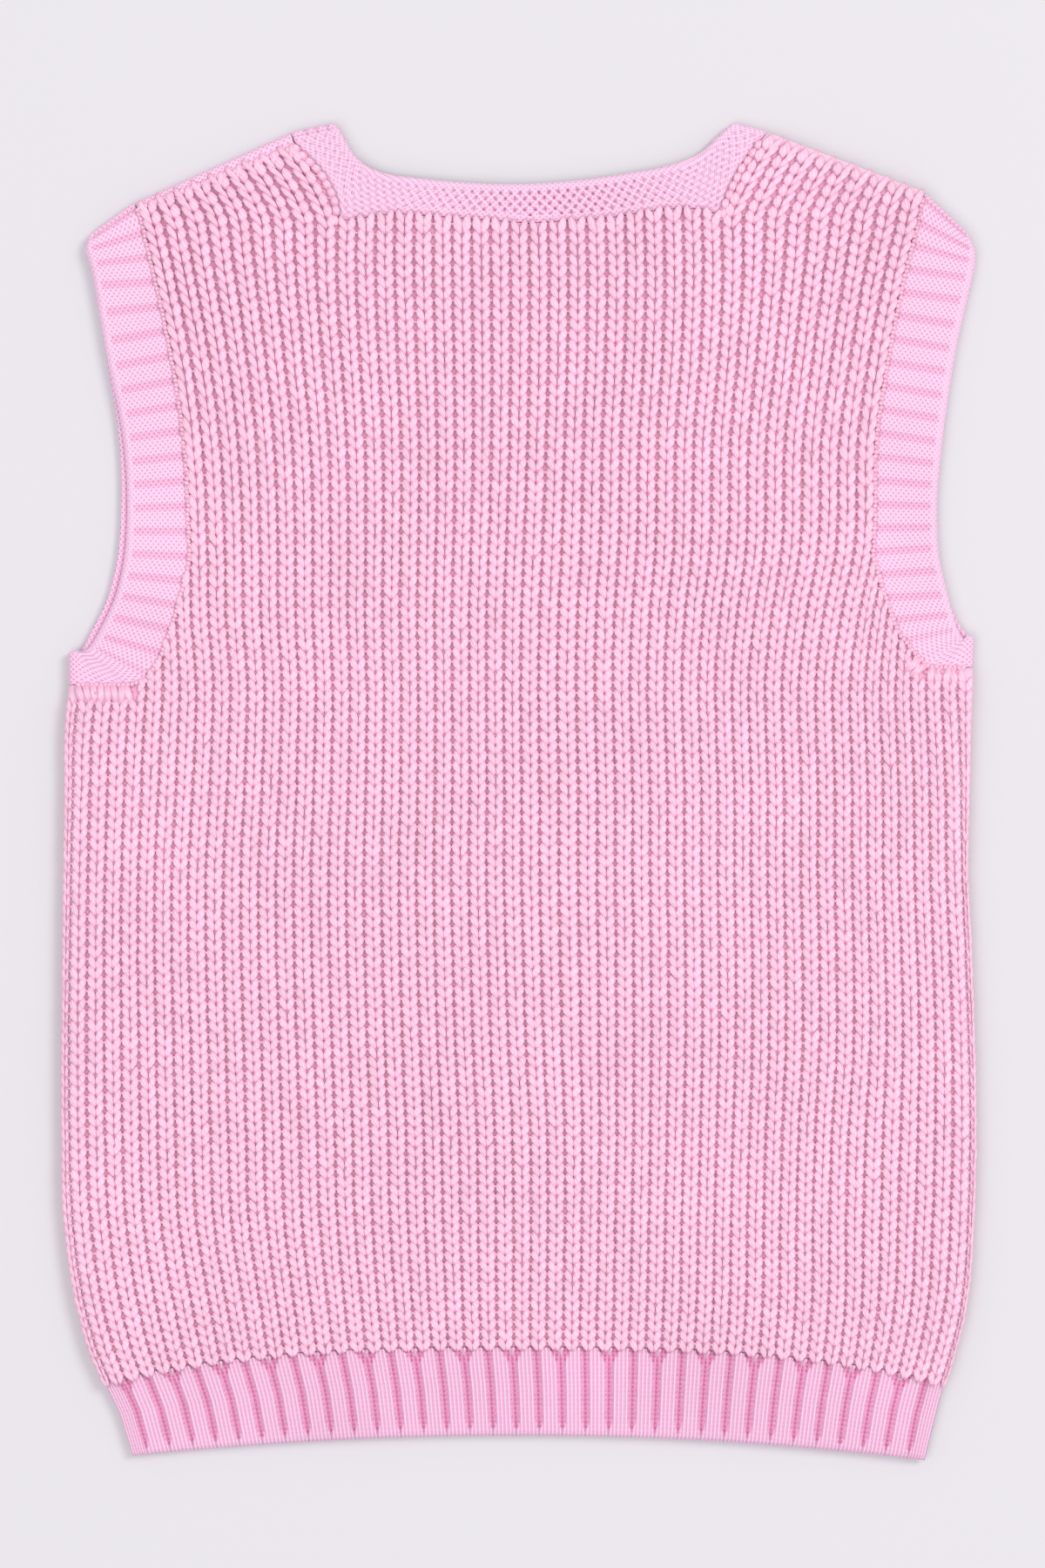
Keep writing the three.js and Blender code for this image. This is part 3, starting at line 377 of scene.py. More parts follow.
def knit_material(name, light, painted_shade, pattern=None, groove_painted_shade=0.0, relief=0.0):
    """Matt yarn: pale on its crests, with painted shade in its hollows and in the grooves of its pattern,
    fuzz and small uneven colour.

    pattern is None, "chevrons" for one stitch to a unit of the UV map, "dots" for two staggered stitches,
    "strands" for dotted lines between strands, or "plies" for the twisted plies of a tube of yarn.
    """
    material = bpy.data.materials.new(name)
    material.use_nodes = True
    nodes, links = material.node_tree.nodes, material.node_tree.links
    shader = nodes["Principled BSDF"]
    for label, value in (("Roughness", 0.92), ("Specular IOR Level", 0.15), ("Sheen Weight", 0.12),
                         ("Sheen Roughness", 0.45), ("Sheen Tint", (1.0, 0.82, 0.91, 1.0))):
        shader.inputs[label].default_value = value

    def math(operation, *values):
        node = nodes.new("ShaderNodeMath")
        node.operation = operation
        for socket, value in zip(node.inputs, values):
            if isinstance(value, (int, float)):
                socket.default_value = value
            else:
                links.new(value, socket)
        return node.outputs[0]

    def attribute(label):
        node = nodes.new("ShaderNodeAttribute")
        node.attribute_name = label
        return node.outputs["Fac"]

    place = nodes.new("ShaderNodeTexCoord").outputs["Object"]

    def noise(scale, detail):
        node = nodes.new("ShaderNodeTexNoise")
        node.inputs["Scale"].default_value = scale
        node.inputs["Detail"].default_value = detail
        links.new(place, node.inputs["Vector"])
        return node.outputs["Fac"]

    def wave(socket):
        return math("COSINE", math("MULTIPLY", socket, 2 * np.pi))

    def ridges(socket):
        return math("ABSOLUTE", math("COSINE", math("MULTIPLY", socket, np.pi)))

    fibre = noise(900.0, 3.0)
    patch = noise(14.0, 3.0)
    painted_shade_share = attribute("painted_shade")
    height = math("MULTIPLY", fibre, 0.5)
    if pattern is not None:
        uv = nodes.new("ShaderNodeSeparateXYZ")
        links.new(nodes.new("ShaderNodeTexCoord").outputs["UV"], uv.inputs[0])
        map_x, map_y = uv.outputs["X"], uv.outputs["Y"]
        if pattern == "chevrons":
            across = math("ABSOLUTE", math("SUBTRACT", math("FRACT", map_x), 0.5))
            slanted = math("SUBTRACT", map_y, math("MULTIPLY", across, 1.1))
            row = math("POWER", math("MULTIPLY_ADD", wave(slanted), 0.5, 0.5), 2.0)
            groove = math("MULTIPLY", row, math("MULTIPLY_ADD", wave(map_x), 0.3, 0.5))
        elif pattern == "plies":
            twist = math("MULTIPLY_ADD", map_y, 2.0, math("MULTIPLY", map_x, 2.5))
            groove = math("POWER", ridges(twist), 4.0)
        elif pattern == "strands":
            dotted = math("MULTIPLY_ADD", wave(map_y), math("MULTIPLY_ADD", painted_shade_share, 0.6, 0.1), 0.8)
            groove = math("MULTIPLY", math("POWER", ridges(map_x), 3.0), dotted)
        else:
            dots = math("MAXIMUM", math("MULTIPLY", wave(map_x), wave(map_y)), 0.0)
            groove = math("POWER", dots, 1.5)
        # Painted shade in the grooves of the pattern
        painted_shade_share = math("ADD", painted_shade_share, math("MULTIPLY", groove, groove_painted_shade))
        height = math("SUBTRACT", height, math("MULTIPLY", groove, relief))

    # The yarn's colour is mixed towards its painted shade colour by the share of painted shade
    shade = nodes.new("ShaderNodeMix")
    shade.data_type = "RGBA"
    shade.inputs["A"].default_value = (*light, 1.0)
    shade.inputs["B"].default_value = (*painted_shade, 1.0)
    links.new(painted_shade_share, shade.inputs["Factor"])
    uneven = math("MULTIPLY_ADD", attribute("tint"), TINT_SHARE, math("MULTIPLY", patch, PATCH_SHARE))
    uneven = math("ADD", math("MULTIPLY_ADD", fibre, FIBRE_SHARE, uneven), EVEN_LEVEL)
    varied = nodes.new("ShaderNodeVectorMath")
    varied.operation = "SCALE"
    links.new(shade.outputs["Result"], varied.inputs[0])
    links.new(uneven, varied.inputs["Scale"])
    links.new(varied.outputs[0], shader.inputs["Base Color"])

    bump = nodes.new("ShaderNodeBump")
    bump.inputs["Strength"].default_value = 0.6
    bump.inputs["Distance"].default_value = 0.0006
    links.new(height, bump.inputs["Height"])
    links.new(bump.outputs["Normal"], shader.inputs["Normal"])
    return material


# Yarn colours: each yarn's own colour, and a darker painted shade colour for its hollows
BODY_LIGHT, BODY_PAINTED_SHADE = (0.93, 0.59, 0.745), (0.80, 0.28, 0.47)
BAND_LIGHT, BAND_PAINTED_SHADE = (0.89, 0.575, 0.765), (0.74, 0.31, 0.50)
stitch_yarn = knit_material("stitch_yarn", BODY_LIGHT, BODY_PAINTED_SHADE, "plies", 0.12, 0.7)
ground_yarn = knit_material("ground_yarn", (0.95, 0.585, 0.745), (0.92, 0.36, 0.56))
front_yarn = knit_material("front_yarn", BODY_LIGHT, BODY_PAINTED_SHADE, "chevrons", 0.7, 1.5)
hem_yarn = knit_material("hem_yarn", BAND_LIGHT, (0.70, 0.17, 0.37), "strands", 0.5, 1.4)
band_yarn = knit_material("band_yarn", BAND_LIGHT, BAND_PAINTED_SHADE, "dots", 0.95, 1.0)
mesh_yarn = knit_material("mesh_yarn", BAND_LIGHT, (0.50, 0.14, 0.26), "dots", 0.3, 1.0)


# Panels: a ground for the back, and a ribbed wall for the front
def joint_start(columns):
    """Where gutter columns meet the hem joint."""
    x = gutter_x(columns, np.full(columns.shape, JOINT["middle_y"]))
    for _ in range(6):
        x = gutter_x(columns, joint_y(x))
    return joint_y(x)


def back_neck_row(u, share):
    in_neck = (u >= NECK_LEFT) & (u <= NECK_RIGHT)
    end = np.where(in_neck, neckline_y(u), shoulder_foot(u))
    y = mix(underarm_y(u), end, share)
    return gutter_x(u, y), y


def front_neck_row(u, share):
    """Rows between the underarm and the V neck of the front."""
    side, foot = underarm_y(u), shoulder_foot(u)
    neck_x, neck_y = (shoulder_corner(u, "neck", i) for i in (0, 1))
    neck_gutter, arm_gutter = by_side(u, NECK_LEFT, NECK_RIGHT), by_side(u, ARM_LEFT, ARM_RIGHT)
    foot_x = mix(neck_x, V_POINT[0], (neck_y - foot) / (neck_y - V_POINT[1]))
    inward = np.abs((u - neck_gutter) / (MIDDLE - neck_gutter))
    inner_x = mix(gutter_x(u, side), mix(foot_x, V_POINT[0], inward), share)
    inner_y = mix(side, mix(foot, V_POINT[1], inward), share)
    y = mix(side, foot, share)
    beside_neck = mix(gutter_x(neck_gutter, side), foot_x, share)
    outer_x = mix(gutter_x(arm_gutter, y), beside_neck, (u - arm_gutter) / (neck_gutter - arm_gutter))
    inside = (u >= NECK_LEFT) & (u <= NECK_RIGHT)
    return np.where(inside, inner_x, outer_x), np.where(inside, inner_y, y)


def panel_grid(columns, counts, neck_row, bow_share):
    """Plan points of a panel by gutter column and row, and which cells are cloth."""
    body_count, neck_count, shoulder_count = counts
    start, side = joint_start(columns), underarm_y(columns)
    rows = []
    for share in np.linspace(0, 1, body_count + 1):
        y = mix(start, side, share)
        rows.append((gutter_x(columns, y), y))
    rows += [neck_row(columns, share) for share in np.linspace(0, 1, neck_count + 1)[1:]]
    foot_x, foot_y = neck_row(columns, 1.0)
    end_x, end_y = shoulder_end(columns)
    for up in np.sin(np.linspace(0, np.pi / 2, shoulder_count + 1))[1:]:
        bow = bow_share * shoulder_bow(columns, up)
        rows.append((mix(foot_x, end_x, up) + bow, mix(foot_y, end_y, up)))
    grid = np.moveaxis(np.array(rows), 0, -1)
    left, right = columns[:-1, None], columns[1:, None]
    row = np.arange(sum(counts))[None]
    between_arms = (left >= ARM_LEFT) & (right <= ARM_RIGHT)
    on_shoulder = between_arms & ((right <= NECK_LEFT) | (left >= NECK_RIGHT))
    filled = (row < body_count) | (between_arms & (row < body_count + neck_count)) | on_shoulder
    return grid[0], grid[1], filled


def shell_piece(name, outer, inner, filled, material, painted_shade, uv=None):
    """A closed wall between two grids of points."""
    points = np.concatenate([outer.reshape(-1, 3), inner.reshape(-1, 3)])
    used, faces = np.unique(walled_faces(filled), return_inverse=True)
    if uv is not None:
        uv = np.tile(np.stack(uv, -1).reshape(-1, 2), (2, 1))[used]
    painted_shade = np.tile(painted_shade.ravel(), 2)[used]
    return add_piece(name, points[used], faces.reshape(-1, 4), material, painted_shade=painted_shade, uv=uv)


def wall_piece(name, x, y, top, bottom, filled, material, painted_shade, uv=None):
    layers = [np.stack(np.broadcast_arrays(x, y, z), axis=-1) for z in (top, bottom)]
    return shell_piece(name, *layers, filled, material, np.broadcast_to(painted_shade, x.shape), uv)


def body_columns(per_gutter):
    return np.linspace(LEFT_EDGE, RIGHT_EDGE, (RIGHT_EDGE - LEFT_EDGE) * per_gutter + 1)


# Rows of cells: up to the underarm, up to the neck, and on the shoulders
BACK_ROWS = (44, 20, 10)
FRONT_ROWS = (44, 20, 8)
GROUND_RELIEF = 0.5
GROUND_PAINTED_SHADE = 0.6
back_columns = body_columns(2)
x, y, filled = panel_grid(back_columns, BACK_ROWS, back_neck_row, 1)
edge = edge_distance(x, y)
wale_mid = np.sin(np.pi * (back_columns % 1))[:, None] ** 2
back_top = back_height(x, y) + GROUND_RELIEF * wale_mid * roundness(edge)
# Painted shade on the ground between the stitches, fading out towards the rolled edges
back_cloth = wall_piece("back_cloth", x, y, back_top, INNER_BACK + seam_rise(edge), filled, ground_yarn,
                        GROUND_PAINTED_SHADE * smoothstep(edge, 3, 12))

FRONT_RIB_RELIEF = 1.1
FRONT_PAINTED_SHADE = 0.8
ROW_PITCH = 4.8
front_columns = body_columns(4)
x, y, filled = panel_grid(front_columns, FRONT_ROWS, front_neck_row, 0)
edge = edge_distance(x, y)
gutter = 1 - np.abs(np.sin(np.pi * (front_columns % 1)))[:, None] ** 0.7
front_under = (FRONT_WALL + SEAM_RISE - EDGE_WALL) * (1 - roundness(edge))
front_under = front_under + FRONT_RIB_RELIEF * gutter * roundness(edge)
whole = np.ones_like(x)
# Painted shade in the gutters between the front's ribs
front_cloth = wall_piece("front_cloth", x, y, FRONT_WALL + seam_rise(edge), front_under, filled, front_yarn,
                         FRONT_PAINTED_SHADE * gutter * whole, uv=(front_columns[:, None] * whole, y / ROW_PITCH))


# Stitches of the back: two legs of yarn for each wale and row, and a bar across each gutter
LOW_PITCH, PITCH_GROWTH = 4.5, 0.001224
ROW_COUNT = 122


def row_level(row):
    """Height of a row in the middle of the back; rows get taller towards the neck."""
    return JOINT["middle_y"] + LOW_PITCH / PITCH_GROWTH * (np.exp(PITCH_GROWTH * row) - 1)


def row_shift(x, level):
    """Rows droop with the hem joint below, and rise towards the armholes at the shoulders."""
    droop = JOINT["middle_y"] - joint_y(x)
    low = np.clip((40 - level) / 301, 0, 1) ** 1.3
    away = np.maximum(np.abs(x - 4) - 60, 0)
    rise = 0.23 * np.where(away < 50, away**2 / 100, away - 25)
    return rise * smoothstep(level, 110, 220) - droop * low


rows = np.arange(ROW_COUNT) + 0.3
gutters = np.arange(LEFT_EDGE, RIGHT_EDGE + 1, dtype=float)
level = np.broadcast_to(row_level(rows), (len(gutters), ROW_COUNT))
lattice_y = level + row_shift(gutter_x(gutters[:, None], level), level)
lattice = np.stack([wale_x(gutters[:, None], lattice_y), lattice_y], axis=-1)


SLOPE_STEP, STEEPEST = 0.4, 1.6


def surface_frame(plan, across, along):
    """Points on the back's surface with unit vectors across, along and out of it."""
    x, y = plan[..., 0], plan[..., 1]
    rise_x = back_height(x + SLOPE_STEP, y) - back_height(x - SLOPE_STEP, y)
    rise_y = back_height(x, y + SLOPE_STEP) - back_height(x, y - SLOPE_STEP)
    slope_x, slope_y = (np.clip(rise / (2 * SLOPE_STEP), -STEEPEST, STEEPEST) for rise in (rise_x, rise_y))

    def lifted(vectors):
        rise = vectors[..., 0] * slope_x + vectors[..., 1] * slope_y
        return unit(np.concatenate([vectors, rise[..., None]], axis=-1))

    across, along = lifted(across), lifted(along)
    origin = np.stack([x, y, back_height(x, y)], axis=-1)
    return origin, across, along, unit(np.cross(across, along))


def lobes(origin, across, along, out, centre, half_width, thickness, angles):
    """Short lengths of yarn, each an open tube of rings over its place.

    centre is (lobes, rings, 3) in the local vectors; half_width and thickness are (lobes, rings).
    """
    angles = np.radians(angles)
    middle = (origin[:, None] + across[:, None] * centre[..., :1] + along[:, None] * centre[..., 1:2]
              + out[:, None] * centre[..., 2:])
    side = across[:, None, None] * (half_width[..., None] * np.sin(angles))[..., None]
    up = out[:, None, None] * (thickness[..., None] * np.cos(angles))[..., None]
    return middle[:, :, None] + side + up


def yarn_piece(name, points, painted_shade, tint=None):
    """A piece of many lengths of yarn, from points by length, ring and angle."""
    shape = points.shape[:3]
    return add_piece(name, points, strip_faces(*shape), stitch_yarn, painted_shade, tint, tube_uv(*shape))


# Legs stop short of the underarm's stitches, and of the ends of the wales by shares of a row
UNDER_WALES = 3.6
UNDER_LENGTH = 7.0
JOINT_OVERLAP, END_FREE, FOLD_FREE, LAST_ROW = 0.15, 0.28, 0.72, 0.8

# Legs in shares of the wales' pitch across and of the rows' height along, with heights in millimetres
LEG_OFFSET = 0.22
LEG_HALF_WIDTH = 0.224
LEG_LENGTH = 1.16
LEG_SHEAR = 0.22
LEG_WOBBLE = dict(across=0.10, along=0.14, height=0.10, width=0.04)
FULL_PITCH = 8.2
LEG_LEAN = np.array([-0.02, -0.02, 0.0, 0.01, 0.01, 0.0])
LEG_ALONG = np.array([0.0, 0.10, 0.30, 0.62, 0.88, 1.0])
LEG_WIDTH = np.array([0.56, 0.82, 1.04, 1.06, 0.82, 0.54])
LEG_HEIGHT = np.array([0.65, 1.05, 1.35, 1.30, 1.00, 0.65])
LEG_THICKNESS = np.array([0.75, 0.95, 1.1, 1.1, 0.95, 0.75])
LEG_ANGLES = np.array([-95.0, -50.0, 0.0, 50.0, 95.0])

# Heights between which the legs get slimmer, and between which their ends and the bars sink
SLIM_HEIGHTS = (60, 200)
OPEN_HEIGHTS = (150, 240)

# Painted shade of a right leg, darkest at its ends and sides where it meets the next legs: rows are its
# rings from the lower end, columns its angles from the middle
LEG_SHADE = np.array([
    (1.0, 0.6, 0.2, 0.7, 1.0), (0.9, 0.25, 0.0, 0.25, 0.9), (0.1, 0.0, 0.0, 0.0, 0.3),
    (0.0, 0.0, 0.0, 0.0, 0.3), (0.6, 0.2, 0.0, 0.3, 1.0), (1.0, 0.5, 0.2, 0.7, 1.0),
])

legs = []
for wale in range(len(gutters) - 1):
    span = lattice[wale + 1] - lattice[wale]
    middle = (lattice[wale + 1] + lattice[wale]) / 2
    run = np.gradient(middle, axis=0)
    row_height = np.linalg.norm(run, axis=-1)
    for hand in (-1, 1):
        number = gutters[wale] + 0.5 + LEG_OFFSET * hand
        place = middle + LEG_OFFSET * hand * span
        end_free = FOLD_FREE if number > NECK_RIGHT else END_FREE
        top = wale_top(number) - end_free * row_height
        above_joint = place[:, 1] > joint_y(place[:, 0]) - JOINT_OVERLAP * row_height
        inside = above_joint & (place[:, 1] < top + LAST_ROW * row_height)
        if number < UNDER_WALES or number > RIGHT_EDGE - UNDER_WALES:
            inside &= place[:, 1] < underarm_y(number) - UNDER_LENGTH
        over = np.maximum(place[:, 1] - top, 0)[:, None]
        place = place - run * over / run[:, 1:]
        fields = (place, span, run, row_height, np.full(ROW_COUNT, hand))
        legs.append([field[inside] for field in fields])
place, span, run, row_height, hand = (np.concatenate(parts) for parts in zip(*legs))
leg_count = len(place)
pitch = np.linalg.norm(span, axis=-1)
origin, across, along, out = surface_frame(place, span, run)
size = np.clip(pitch / FULL_PITCH, 0.55, 1.25)[:, None]
draws = random.normal(size=(len(LEG_WOBBLE), leg_count, 1))
wobble = {way: LEG_WOBBLE[way] * draw for way, draw in zip(LEG_WOBBLE, draws)}
centre = np.stack([
    (hand * pitch)[:, None] * LEG_LEAN + wobble["across"],
    (LEG_ALONG - 0.5) * LEG_LENGTH * row_height[:, None] + wobble["along"],
    size * LEG_HEIGHT + wobble["height"],
], axis=-1)
slim = 1 - 0.05 * smoothstep(place[:, 1], *SLIM_HEIGHTS)
open_ends = 0.2 * smoothstep(place[:, 1], *OPEN_HEIGHTS)[:, None] * (LEG_WIDTH < 0.7)
half_width = (LEG_HALF_WIDTH * pitch * slim)[:, None] * LEG_WIDTH * (1 - open_ends) * (1 + wobble["width"])
points = lobes(origin, across, along, out, centre, half_width, size * LEG_THICKNESS, LEG_ANGLES)
shear = (hand * row_height * LEG_SHEAR)[:, None] * np.sin(np.radians(LEG_ANGLES))
points += along[:, None, None] * shear[:, None, :, None]
shade = np.where(hand[:, None, None] > 0, LEG_SHADE, LEG_SHADE[:, ::-1])
tint = np.repeat(random.normal(size=leg_count).clip(-2, 2), LEG_SHADE.size).reshape(shade.shape)

STITCH_PARTS = 3
HALF_BODY = 216
parts = (STITCH_PARTS * (place[:, 0] + HALF_BODY) / (2 * HALF_BODY)).astype(int)
parts = np.minimum(parts, STITCH_PARTS - 1)
stitch_pieces = []
for part in range(STITCH_PARTS):
    fields = (field[parts == part] for field in (points, shade, tint))
    stitch_pieces.append(yarn_piece(f"back_stitches_{part + 1}", *fields))

BAR_HALF_WIDTH = 0.17
BAR_RADIUS = 0.75
BAR_PAINTED_SHADE = 0.5
BAR_ACROSS = np.array([-1.0, -0.4, 0.4, 1.0])
BAR_ANGLES = np.array([-100.0, -35.0, 35.0, 100.0])
bars = []
for gutter_number in range(1, len(gutters) - 1):
    line = lattice[gutter_number]
    span = (lattice[gutter_number + 1] - lattice[gutter_number - 1]) / 2
    run = np.gradient(line, axis=0)
    inside = (line[:, 1] > joint_y(line[:, 0])) & (line[:, 1] < wale_top(gutters[gutter_number]) - 3)
    bars.append([part[inside] for part in (line, span, run)])
place, span, run = (np.concatenate(parts) for parts in zip(*bars))
pitch, row_height = np.linalg.norm(span, axis=-1)[:, None], np.linalg.norm(run, axis=-1)[:, None]
origin, across, along, out = surface_frame(place, span, run)
centre = np.stack([
    BAR_HALF_WIDTH * pitch * BAR_ACROSS,
    row_height * (0.26 + 0.1 * BAR_ACROSS**2),
    1.25 - 0.4 * BAR_ACROSS**2 - 0.5 * smoothstep(place[:, 1:], *OPEN_HEIGHTS),
], axis=-1)
bar_radius = np.full(centre.shape[:2], BAR_RADIUS)
points = lobes(origin, along, across, out, centre[..., [1, 0, 2]], bar_radius, bar_radius, BAR_ANGLES)
# The bars get an even painted shade, as they lie low in the gutters
stitch_pieces.append(yarn_piece("back_bars", points, np.full(points.shape[:3], BAR_PAINTED_SHADE)))


# Hem: ribs of four strands, raised on the back half and sunk into the underside of the front half
def hem_plan(columns, drops):
    """Plan points of the hem by rib column and drop from the joint."""
    at = [np.interp(drops, HEM_SECTIONS[:, 0], HEM_SECTIONS[:, i]) for i in (1, 2, 3, 4)]
    u = columns[:, None]
    last = HEM_RIBS - 1
    x = mix(at[1], at[2], (u - 1) / (last - 1))
    x = np.where(u < 1, mix(at[0], at[1], u), x)
    x = np.where(u > last, mix(at[2], at[3], u - last), x)
    y = mix(joint_y(x) - SEAM_GAP, hem_edge_y(x), drops)
    edge = np.maximum(np.minimum(x - x[:1], x[-1:] - x), 0)
    return x, y, edge


STRANDS = 4
GUTTER_HALF = 1 / 6
SPLIT_LENGTH = 8.0
SPLIT_REACH = 0.33
HEM_STITCH = 2.1
HEM_PAINTED_SHADE = 0.58
LIP_LENGTH = 2.2


def hem_pattern(u, below, above_edge):
    """Height share, painted shade in the open gutters and stitch map of the ribs, by distance from the joint
    and the edge.
    """
    nearest = np.clip(np.round(u), 1, HEM_RIBS - 1)
    split = np.where(nearest % 2 == 1, SPLIT_REACH * np.clip(1 - below / SPLIT_LENGTH, 0, 1), 0)
    zigzag = 0.025 * np.sin(2 * np.pi * below / HEM_STITCH)
    away = np.abs(np.abs(u - nearest) - split + zigzag)
    narrow = GUTTER_HALF * smoothstep(above_edge, -1.0, 9.0)
    open_gutter = 1 - smoothstep(away / np.maximum(narrow, 0.001), 0.6, 1.0)
    open_gutter = open_gutter * smoothstep(above_edge, 2.0, 5.0)
    strand = (u - np.floor(u) - GUTTER_HALF) / (1 - 2 * GUTTER_HALF) * STRANDS
    crown = np.abs(np.sin(np.pi * strand)) ** 0.6
    height = (1 - open_gutter) * (0.75 + 0.25 * crown)
    return height, HEM_PAINTED_SHADE * open_gutter, (strand, below / HEM_STITCH)


def hem_grid(cells_per_rib, drop_count):
    """Plan points, distance from the sides, height share and what a hem piece is made with."""
    columns, drops = np.linspace(0, HEM_RIBS, HEM_RIBS * cells_per_rib + 1), np.linspace(1, 0, drop_count)
    x, y, edge = hem_plan(columns, drops)
    u = columns[:, None] * np.ones_like(x)
    height, painted_shade, stitch_map = hem_pattern(u, joint_y(x) - y, y - hem_edge_y(x))
    filled = np.ones((len(columns) - 1, drop_count - 1), bool)
    return x, y, edge, height, (filled, hem_yarn, painted_shade, stitch_map)


x, y, edge, height, finish = hem_grid(24, 37)
hem_inner = HEM_FRONT_WALL + SEAM_GAP
lip = smoothstep(y - hem_edge_y(x), 0, LIP_LENGTH) ** 0.5
foot = hem_inner + SEAM_RISE + EDGE_WALL
level = hem_inner + HEM_BACK_WALL * (0.35 + 0.65 * lip) + HEM_RELIEF * height * lip + 0.4
hem_top = foot + (level - foot) * roundness(edge)
hem_back = wall_piece("hem_back", x, y, hem_top, hem_inner + seam_rise(edge), *finish)

x, y, edge, height, finish = hem_grid(8, 17)
hem_under = (HEM_FRONT_WALL + SEAM_RISE - EDGE_WALL) * (1 - roundness(edge)) + (1 - height) * roundness(edge)
hem_front = wall_piece("hem_front", x, y, HEM_FRONT_WALL + seam_rise(edge), hem_under, *finish)


# Bands: closed rings round the armholes and the neck, over the folds at the sides and shoulders
BAND_GAP = 0.4
END_SHARE = 0.02
BAND_FOLD = BAND_WALL + BAND_RELIEF + SEAM_GAP / 2
NECK_FOLD = BAND_WALL + SEAM_GAP / 2


def line_lengths(points):
    return np.concatenate([[0], np.cumsum(np.linalg.norm(np.diff(points, axis=0), axis=1))])


def read_line(points, shares):
    """Points at shares of the length of a line."""
    lengths = line_lengths(points)
    at = np.asarray(shares) * lengths[-1]
    return np.stack([np.interp(at, lengths, points[:, i]) for i in (0, 1)], axis=-1)


def cut_line(points, distance):
    """Shortens a line at its end."""
    length = line_lengths(points)[-1]
    return read_line(points, np.linspace(0, 1 - distance / length, len(points) * 2))


def beside_line(points, distance):
    """Moves a line sideways, to its left as it runs, with mitred corners."""
    run = unit(np.diff(points, axis=0))
    side = np.stack([-run[:, 1], run[:, 0]], axis=-1)
    before, after = np.vstack([side[:1], side]), np.vstack([side, side[-1:]])
    mitre = unit(before + after)
    return points + mitre * (distance / (mitre * before).sum(axis=1))[:, None]


def read_edge(table, shares):
    return np.stack([smooth_read(table[:, 2], table[:, i], shares) for i in (0, 1)], axis=-1)


def back_line(gutter, first_row):
    """The edge of the back's cloth along one gutter, from a row up to the shoulder's end."""
    x, y, _ = panel_grid(np.array([gutter, gutter + 0.5]), BACK_ROWS, back_neck_row, 1)
    return np.stack([x[0, first_row:], y[0, first_row:]], axis=-1)


HANDS = {"left": 1, "right": -1}
ARM_GUTTERS = {"left": (ARM_LEFT, LEFT_EDGE), "right": (ARM_RIGHT, RIGHT_EDGE)}
UNDERARM_WALES = 6


def armhole_line(side):
    """The sewn edge of an armband, from the shoulder down and out to the side."""
    hand = HANDS[side]
    gutter, corner = ARM_GUTTERS[side]
    points = back_line(float(gutter), BACK_ROWS[0] + 1)
    if side == "right":
        points = cut_line(points, BAND_FOLD)
    under = np.linspace(gutter, gutter - UNDERARM_WALES * hand, 25)
    below = np.stack([gutter_x(under, underarm_y(under)), underarm_y(under)], axis=-1)
    end_y = underarm_y(corner)
    end = (gutter_x(corner, end_y) + hand * BAND_FOLD, end_y)
    return beside_line(np.vstack([points[::-1], below, [end]]), -BAND_GAP * hand)


def band_points(sewn, free, turn, sewn_out, free_out, across, reach):
    """Points of a band: across runs from the sewn to the free edge, reach is out from the fold's middle."""
    angle = np.radians(turn)[:, None]
    out = mix(sewn_out[:, None], free_out[:, None], across[..., None])
    plan = mix(sewn[:, None], free[:, None], across[..., None]) + out * (reach * np.sin(angle))[..., None]
    return np.concatenate([plan, (FOLD_CENTRE + reach * np.cos(angle))[..., None]], axis=-1)


BAND_STITCH = (2.9, 2.4)
# The inside of a band: shares across, and the painted shade on it
INNER_ACROSS = np.array([1.0, 0.97, 0.93, 0.87, 0.78, 0.5, 0.0])
INNER_SHADE = np.array([0.0, 0.0, 0.5, 0.9, 0.9, 0.6, 0.3])


def band_piece(name, stations, thickness, across, relief, painted_shade, material):
    """A closed band. stations hold the sewn and free edges, the turn and the ways out of the folds."""
    sewn, free, turn, sewn_out, free_out = (np.concatenate(parts) for parts in zip(*stations))
    clear = SEAM_GAP / 2
    free_round = 0.75 * np.clip((across - 0.88) / 0.12, 0, 1) ** 2.5
    rounded = 1 - free_round - 0.12 * np.exp(-((across / 0.03) ** 2))
    inner = (len(turn), len(INNER_ACROSS))
    reach = clear + np.hstack([(thickness[:, None] + relief) * rounded, np.zeros(inner)])
    shares = np.broadcast_to(np.concatenate([across, INNER_ACROSS]), reach.shape)
    points = band_points(sewn, free, turn, sewn_out, free_out, shares, reach)
    painted_shade = np.hstack([painted_shade, np.broadcast_to(INNER_SHADE, inner)])
    along = line_lengths(points[:, len(across) // 2])[:, None] / BAND_STITCH[0]
    width = np.linalg.norm(free - sewn, axis=1)[:, None] / BAND_STITCH[1]
    uv = np.stack(np.broadcast_arrays(along, shares * width), axis=-1)
    faces = ring_faces(*reach.shape)
    corners = points.reshape(-1, 3)[faces]
    normal = np.cross(corners[:, 1] - corners[:, 0], corners[:, 3] - corners[:, 0])
    if (corners.mean(axis=1) * normal).sum() < 0:
        faces = faces[:, ::-1]
    return add_piece(name, points, faces, material, painted_shade=painted_shade, uv=uv)


def fold_stations(sewn, free, sewn_out, free_out, turns):
    count = len(turns)
    return tuple([np.tile(part, (count, 1)) for part in (sewn, free)] + [turns]
                 + [np.tile(part, (count, 1)) for part in (sewn_out, free_out)])


def flat_stations(sewn, free, turn):
    still = np.zeros_like(sewn)
    return sewn, free, np.full(len(sewn), float(turn)), still, still


FOLD_TURNS = np.linspace(0, 180, 18)[1:-1]
BAND_ACROSS = np.concatenate([np.linspace(0, 0.86, 34), np.linspace(0.86, 1, 10)[1:]])
RECESS_HALF = 0.15


